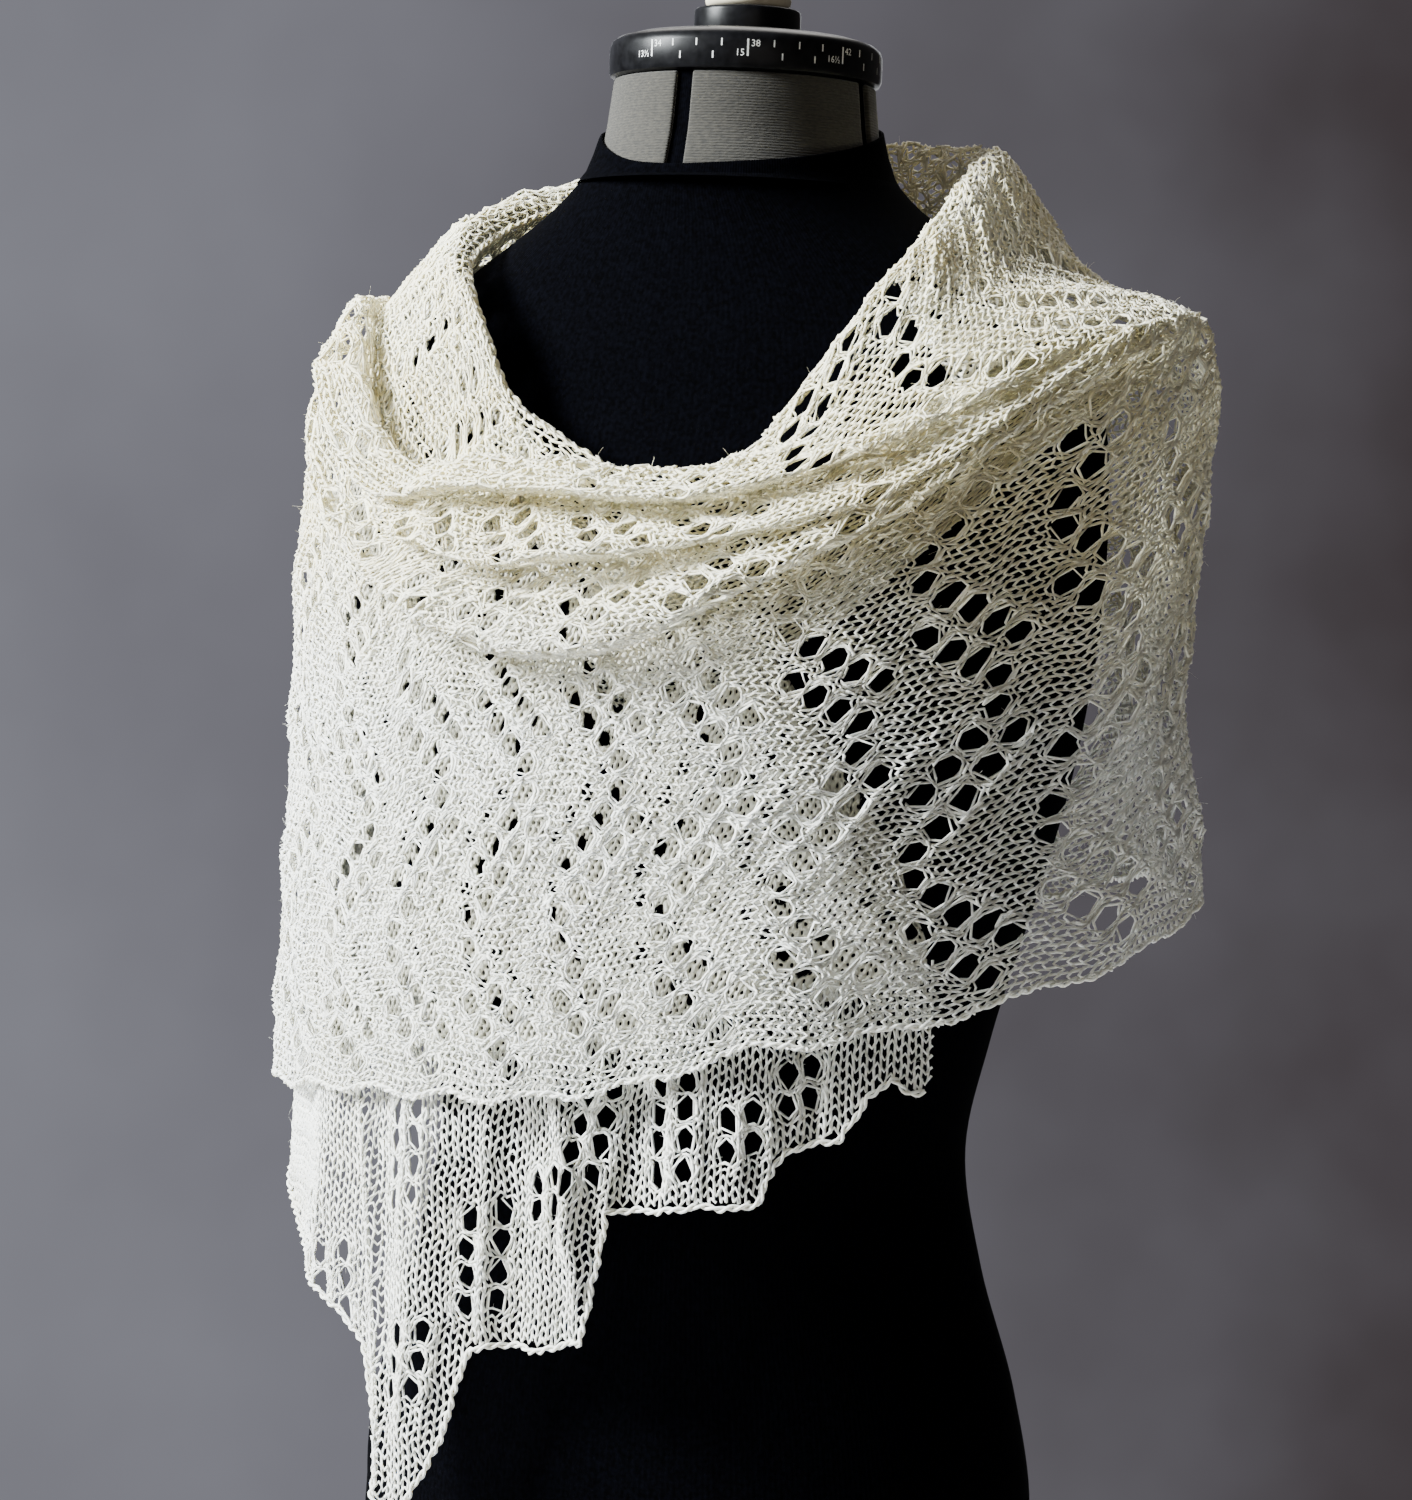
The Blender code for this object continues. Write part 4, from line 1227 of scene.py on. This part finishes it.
def dialWord(words, azimuth, height, ink, align):
    text = bpy.data.curves.new("dialNumber", "FONT")
    text.body, text.size, text.align_x, text.align_y = words, dial["wordSize"], align, "CENTER"
    text.resolution_u = 2
    number = newObject("dialNumber", text)
    graph = bpy.context.evaluated_depsgraph_get()
    plain = bpy.data.meshes.new_from_object(number.evaluated_get(graph), depsgraph=graph)
    bpy.data.objects.remove(number)
    radius = 60.12 * mm
    for vertex in plain.vertices:
        angle = math.radians(azimuth) + vertex.co.x / radius
        up = dial["low"] + height * mm + vertex.co.y
        vertex.co = (radius * math.sin(angle), -radius * math.cos(angle), up)
    plain.materials.clear()
    return newObject("dialNumber", plain, ink)


def makeDial(plastic, ink, knobPlastic):
    low, top = dial["low"], dial["low"] + dial["height"]
    profile = [(radius * mm, low + height * mm) for radius, height in dial["profile"]]
    parts = [turnedMesh("dialRing", profile, plastic, 128)]
    marks = []
    for half in (0, 180):
        for index, (upper, lower) in enumerate(dial["sizes"]):
            azimuth = dial["firstMark"] + dial["markTurn"] * index + half
            marks.append(dialMark(azimuth, "tall", 1.25))
            parts.append(dialWord(upper, azimuth + 1.2, 11.0, ink, "LEFT"))
            parts.append(dialWord(lower, azimuth - 1.2, 6.9, ink, "RIGHT"))
            for row, spaces in (("upper", dial["upperTicks"]), ("lower", dial["lowerTicks"])):
                for tick in range(1, spaces):
                    marks.append(dialMark(azimuth + dial["markTurn"] * tick / spaces, row))
    mesh = bpy.data.meshes.new("dialMarks")
    corners = [corner for mark in marks for corner in mark]
    mesh.from_pydata(corners, [], [tuple(range(4 * i, 4 * i + 4)) for i in range(len(marks))])
    parts.append(newObject("dialMarks", mesh, ink))
    dressPart(joinPieces("formNeckDial", parts), "form_neck_dial")
    ringLow, ringTop = top + 0.3 * mm, top + 12.3 * mm
    ring = [(4 * mm, ringLow), (23.5 * mm, ringLow), (23.5 * mm, ringTop), (4 * mm, ringTop)]
    dressPart(turnedMesh("formCapRing", rounded(ring, 2.0 * mm), plastic), "form_cap_ring")
    knobLow, knobTop = ringTop + 0.3 * mm, top + 27 * mm
    knob = [(4 * mm, knobLow), (19 * mm, knobLow), (19 * mm, knobTop - 6 * mm), (14 * mm, knobTop - 1 * mm)]
    knob += [(5 * mm, knobTop)]
    dressPart(turnedMesh("formCapKnob", rounded(knob, 4 * mm), knobPlastic), "form_cap_knob")


def rounded(profile, radius, steps=4):  # the profile's inner corners as short arcs
    points = [np.array(p, float) for p in profile]
    out = [points[0]]
    for before, here, after in zip(points, points[1:], points[2:]):
        reach = min(radius, np.linalg.norm(before - here) / 2.2, np.linalg.norm(after - here) / 2.2)
        start = here + (before - here) / np.linalg.norm(before - here) * reach
        end = here + (after - here) / np.linalg.norm(after - here) * reach
        for t in np.linspace(0, 1, steps):
            out.append((1 - t) ** 2 * start + 2 * t * (1 - t) * here + t**2 * end)
    return out + [points[-1]]


def makeStand(steel, paint):
    pole = [(16 * mm, 22.3 * mm), (16 * mm, 289.7 * mm)]
    dressPart(turnedMesh("standPole", pole, steel), "stand_pole")
    base = [(165 * mm, 0.0), (165 * mm, 4 * mm), (162 * mm, 7 * mm), (145 * mm, 10 * mm), (26 * mm, 22 * mm)]
    base.append((8 * mm, 22 * mm))
    dressPart(turnedMesh("standBase", rounded(base, 1.5 * mm), paint), "stand_base")


def linerPaint():  # knitted cloth seen only through other cloth, with its stitches' gaps, painted shade in those gaps, and its eyelets
    paint = Paint("creamUnderCloth", Roughness=0.9)
    uv = paint.place("UV")
    wander = paint.node("ShaderNodeTexNoise", inputs={"Vector": uv, "Scale": 0.6}, output="Color")
    moved = paint.node("ShaderNodeMixRGB", {"blend_type": "ADD"}, {"Fac": 1.0, 1: uv, 2: wander})
    course, stitch = (paint.node("ShaderNodeSeparateXYZ", inputs={0: moved}, output=k) for k in (0, 1))
    full = 2 * math.pi
    rows, wales = (course * full).calc("COSINE"), (stitch * full).calc("COSINE")
    gaps = rows * wales
    fromHem = stole["stitches"] - lace["apexFromHem"] - stitch
    away = fromHem.calc("PINGPONG", lace["repeatAcross"] / 2)
    nearest = None
    for along, across, holes in lace["lines"]:
        hole = (away - across) * (1 / lace["stepAcross"])
        hole = hole.calc("ROUND")
        hole = hole.calc("MAXIMUM", 0.0).calc("MINIMUM", holes - 1.0)
        side = (away - across - hole * lace["stepAcross"]) * 5.6
        past = course - (lace["phase"] + along - lace["repeatAlong"] / 2) - hole * lace["stepAlong"]
        past = (past.calc("FLOORED_MODULO", float(lace["repeatAlong"])) - lace["repeatAlong"] / 2) * 4.5
        distance = (past * past + side * side).calc("SQRT")
        nearest = distance if nearest is None else distance.calc("MINIMUM", nearest)
    solid = ((nearest - 3.4) * 1.2).clamped()
    closed = ((0.62 - gaps) * 8.0).clamped()
    paint.feed("Alpha", solid * closed)
    # painted shade: the base colour darkens towards the stitches' gaps
    tone = gaps * -0.5 + 0.5 + paint.noise(260, 2.0) * 0.35
    paint.feed("Base Color", paint.ramp(tone, (0.2, (0.85, 0.80, 0.64)), (0.8, (0.96, 0.95, 0.85))))
    paint.raised(gaps * -1.0, 1.0, 0.0012)
    return paint.material


def inkPaint():
    paint = Paint("paleInk", Roughness=0.6)
    shade = paint.ramp(paint.noise(400), (0.2, (0.55, 0.55, 0.53)), (0.8, (0.72, 0.72, 0.7)))
    paint.feed("Base Color", shade)
    return paint.material


# The studio

studio = {
    "floorRadius": 1.05,
    "lights": (  # name, power, place, size, colour
        ("key", 560, (-1.85, -1.5, 2.0), 1.0, (0.93, 0.98, 1.0)),
        ("fill", 9, (1.5, -2.3, 1.0), 1.8, (1.0, 0.92, 0.82)),
        ("top", 18, (-0.5, 0.9, 2.2), 1.0, (1.0, 0.97, 0.93)),
        ("rear", 12, (-1.0, 2.3, 1.2), 1.2, (0.95, 0.97, 1.0)),
    ),
    "sky": (0.075, 0.072, 0.072),
    "backdrop": {"behind": 4.6, "width": 6.6, "height": 6.6, "low": -2.8},
}


def backdropPaint():  # grey cloth that glows instead of being lit, with painted light brighter towards the window side and a random mottle
    paint = Paint("greyBackdrop", Roughness=1.0, Base_Color=(0, 0, 0, 1), Specular_IOR_Level=0.0)
    place = paint.node("ShaderNodeSeparateXYZ", inputs={0: paint.place()}, output=0)
    # painted light: the glow falls off away from the window side, and noise adds the cloth's mottle
    tone = place * -0.247 + 0.42 + (paint.noise(1.1, 4.0) - 0.5) * 0.5
    paint.feed("Emission Color", paint.ramp(tone, (0.1, (0.055, 0.046, 0.05)), (0.9, (0.27, 0.275, 0.32))))
    paint.shader.inputs["Emission Strength"].default_value = 1.0
    return paint.material


def makeBackdrop():
    sheet = studio["backdrop"]
    across, low = sheet["width"] / 2, sheet["low"]
    corners = [(-across, 0, low), (across, 0, low), (across, 0, low + sheet["height"]), (-across, 0, low + sheet["height"])]
    mesh = bpy.data.meshes.new("backdrop")
    mesh.from_pydata(corners, [], [(0, 1, 2, 3)])
    made = newObject("backdrop", mesh, backdropPaint())
    turn = math.radians(camera["azimuth"])
    made.location = (-sheet["behind"] * math.sin(turn), sheet["behind"] * math.cos(turn), 0)
    made.rotation_mode = "XYZ"
    made.rotation_euler = (0, 0, turn)


def makeStudio():
    bm = bmesh.new()
    bmesh.ops.create_circle(bm, cap_ends=True, segments=96, radius=studio["floorRadius"])
    mesh = bpy.data.meshes.new("floor")
    bm.to_mesh(mesh)
    bm.free()
    floor = newObject("floor", mesh, plasticPaint("paleFloor", (0.56, 0.55, 0.54), (0.62, 0.61, 0.60), 0.8))
    makeBackdrop()
    aim = Vector((0, 0, 0.7))
    for name, power, place, size, colour in studio["lights"]:
        lamp = bpy.data.lights.new(name, "AREA")
        lamp.energy, lamp.size, lamp.color = power, size, colour
        made = bpy.data.objects.new(name, lamp)
        made.location = place
        made.visible_camera = False
        made.rotation_mode = "QUATERNION"
        made.rotation_quaternion = (Vector(place) - aim).to_track_quat("Z", "Y")
        bpy.context.scene.collection.objects.link(made)
    world = bpy.data.worlds.new("studio")
    world.use_nodes = True
    world.node_tree.nodes["Background"].inputs["Color"].default_value = (*studio["sky"], 1)
    bpy.context.scene.world = world


makeCamera()
yarn = yarnPaint()
wrapCloth, innerCloth = makeStretches(yarn)
hiddenYarn = linerPaint()
makeUnderEnd(wrapCloth, innerCloth, yarn, hiddenYarn)
makeFoldLining(wrapCloth, yarn)
makeShoulderLining(wrapCloth, hiddenYarn)
print("scene: stole knitted")
jersey = jerseyPaint()
blackPlastic = plasticPaint("blackPlastic", (0.002, 0.002, 0.0024), (0.005, 0.005, 0.006), 0.34)
makeTorso(jersey)
makeNeck(neckPaint(), jersey)
makeDial(blackPlastic, inkPaint(), plasticPaint("creamPlastic", (0.55, 0.49, 0.36), (0.66, 0.6, 0.46), 0.5))
makeStand(steelPaint(), blackPlastic)
makeStudio()
print("scene: form and studio made")
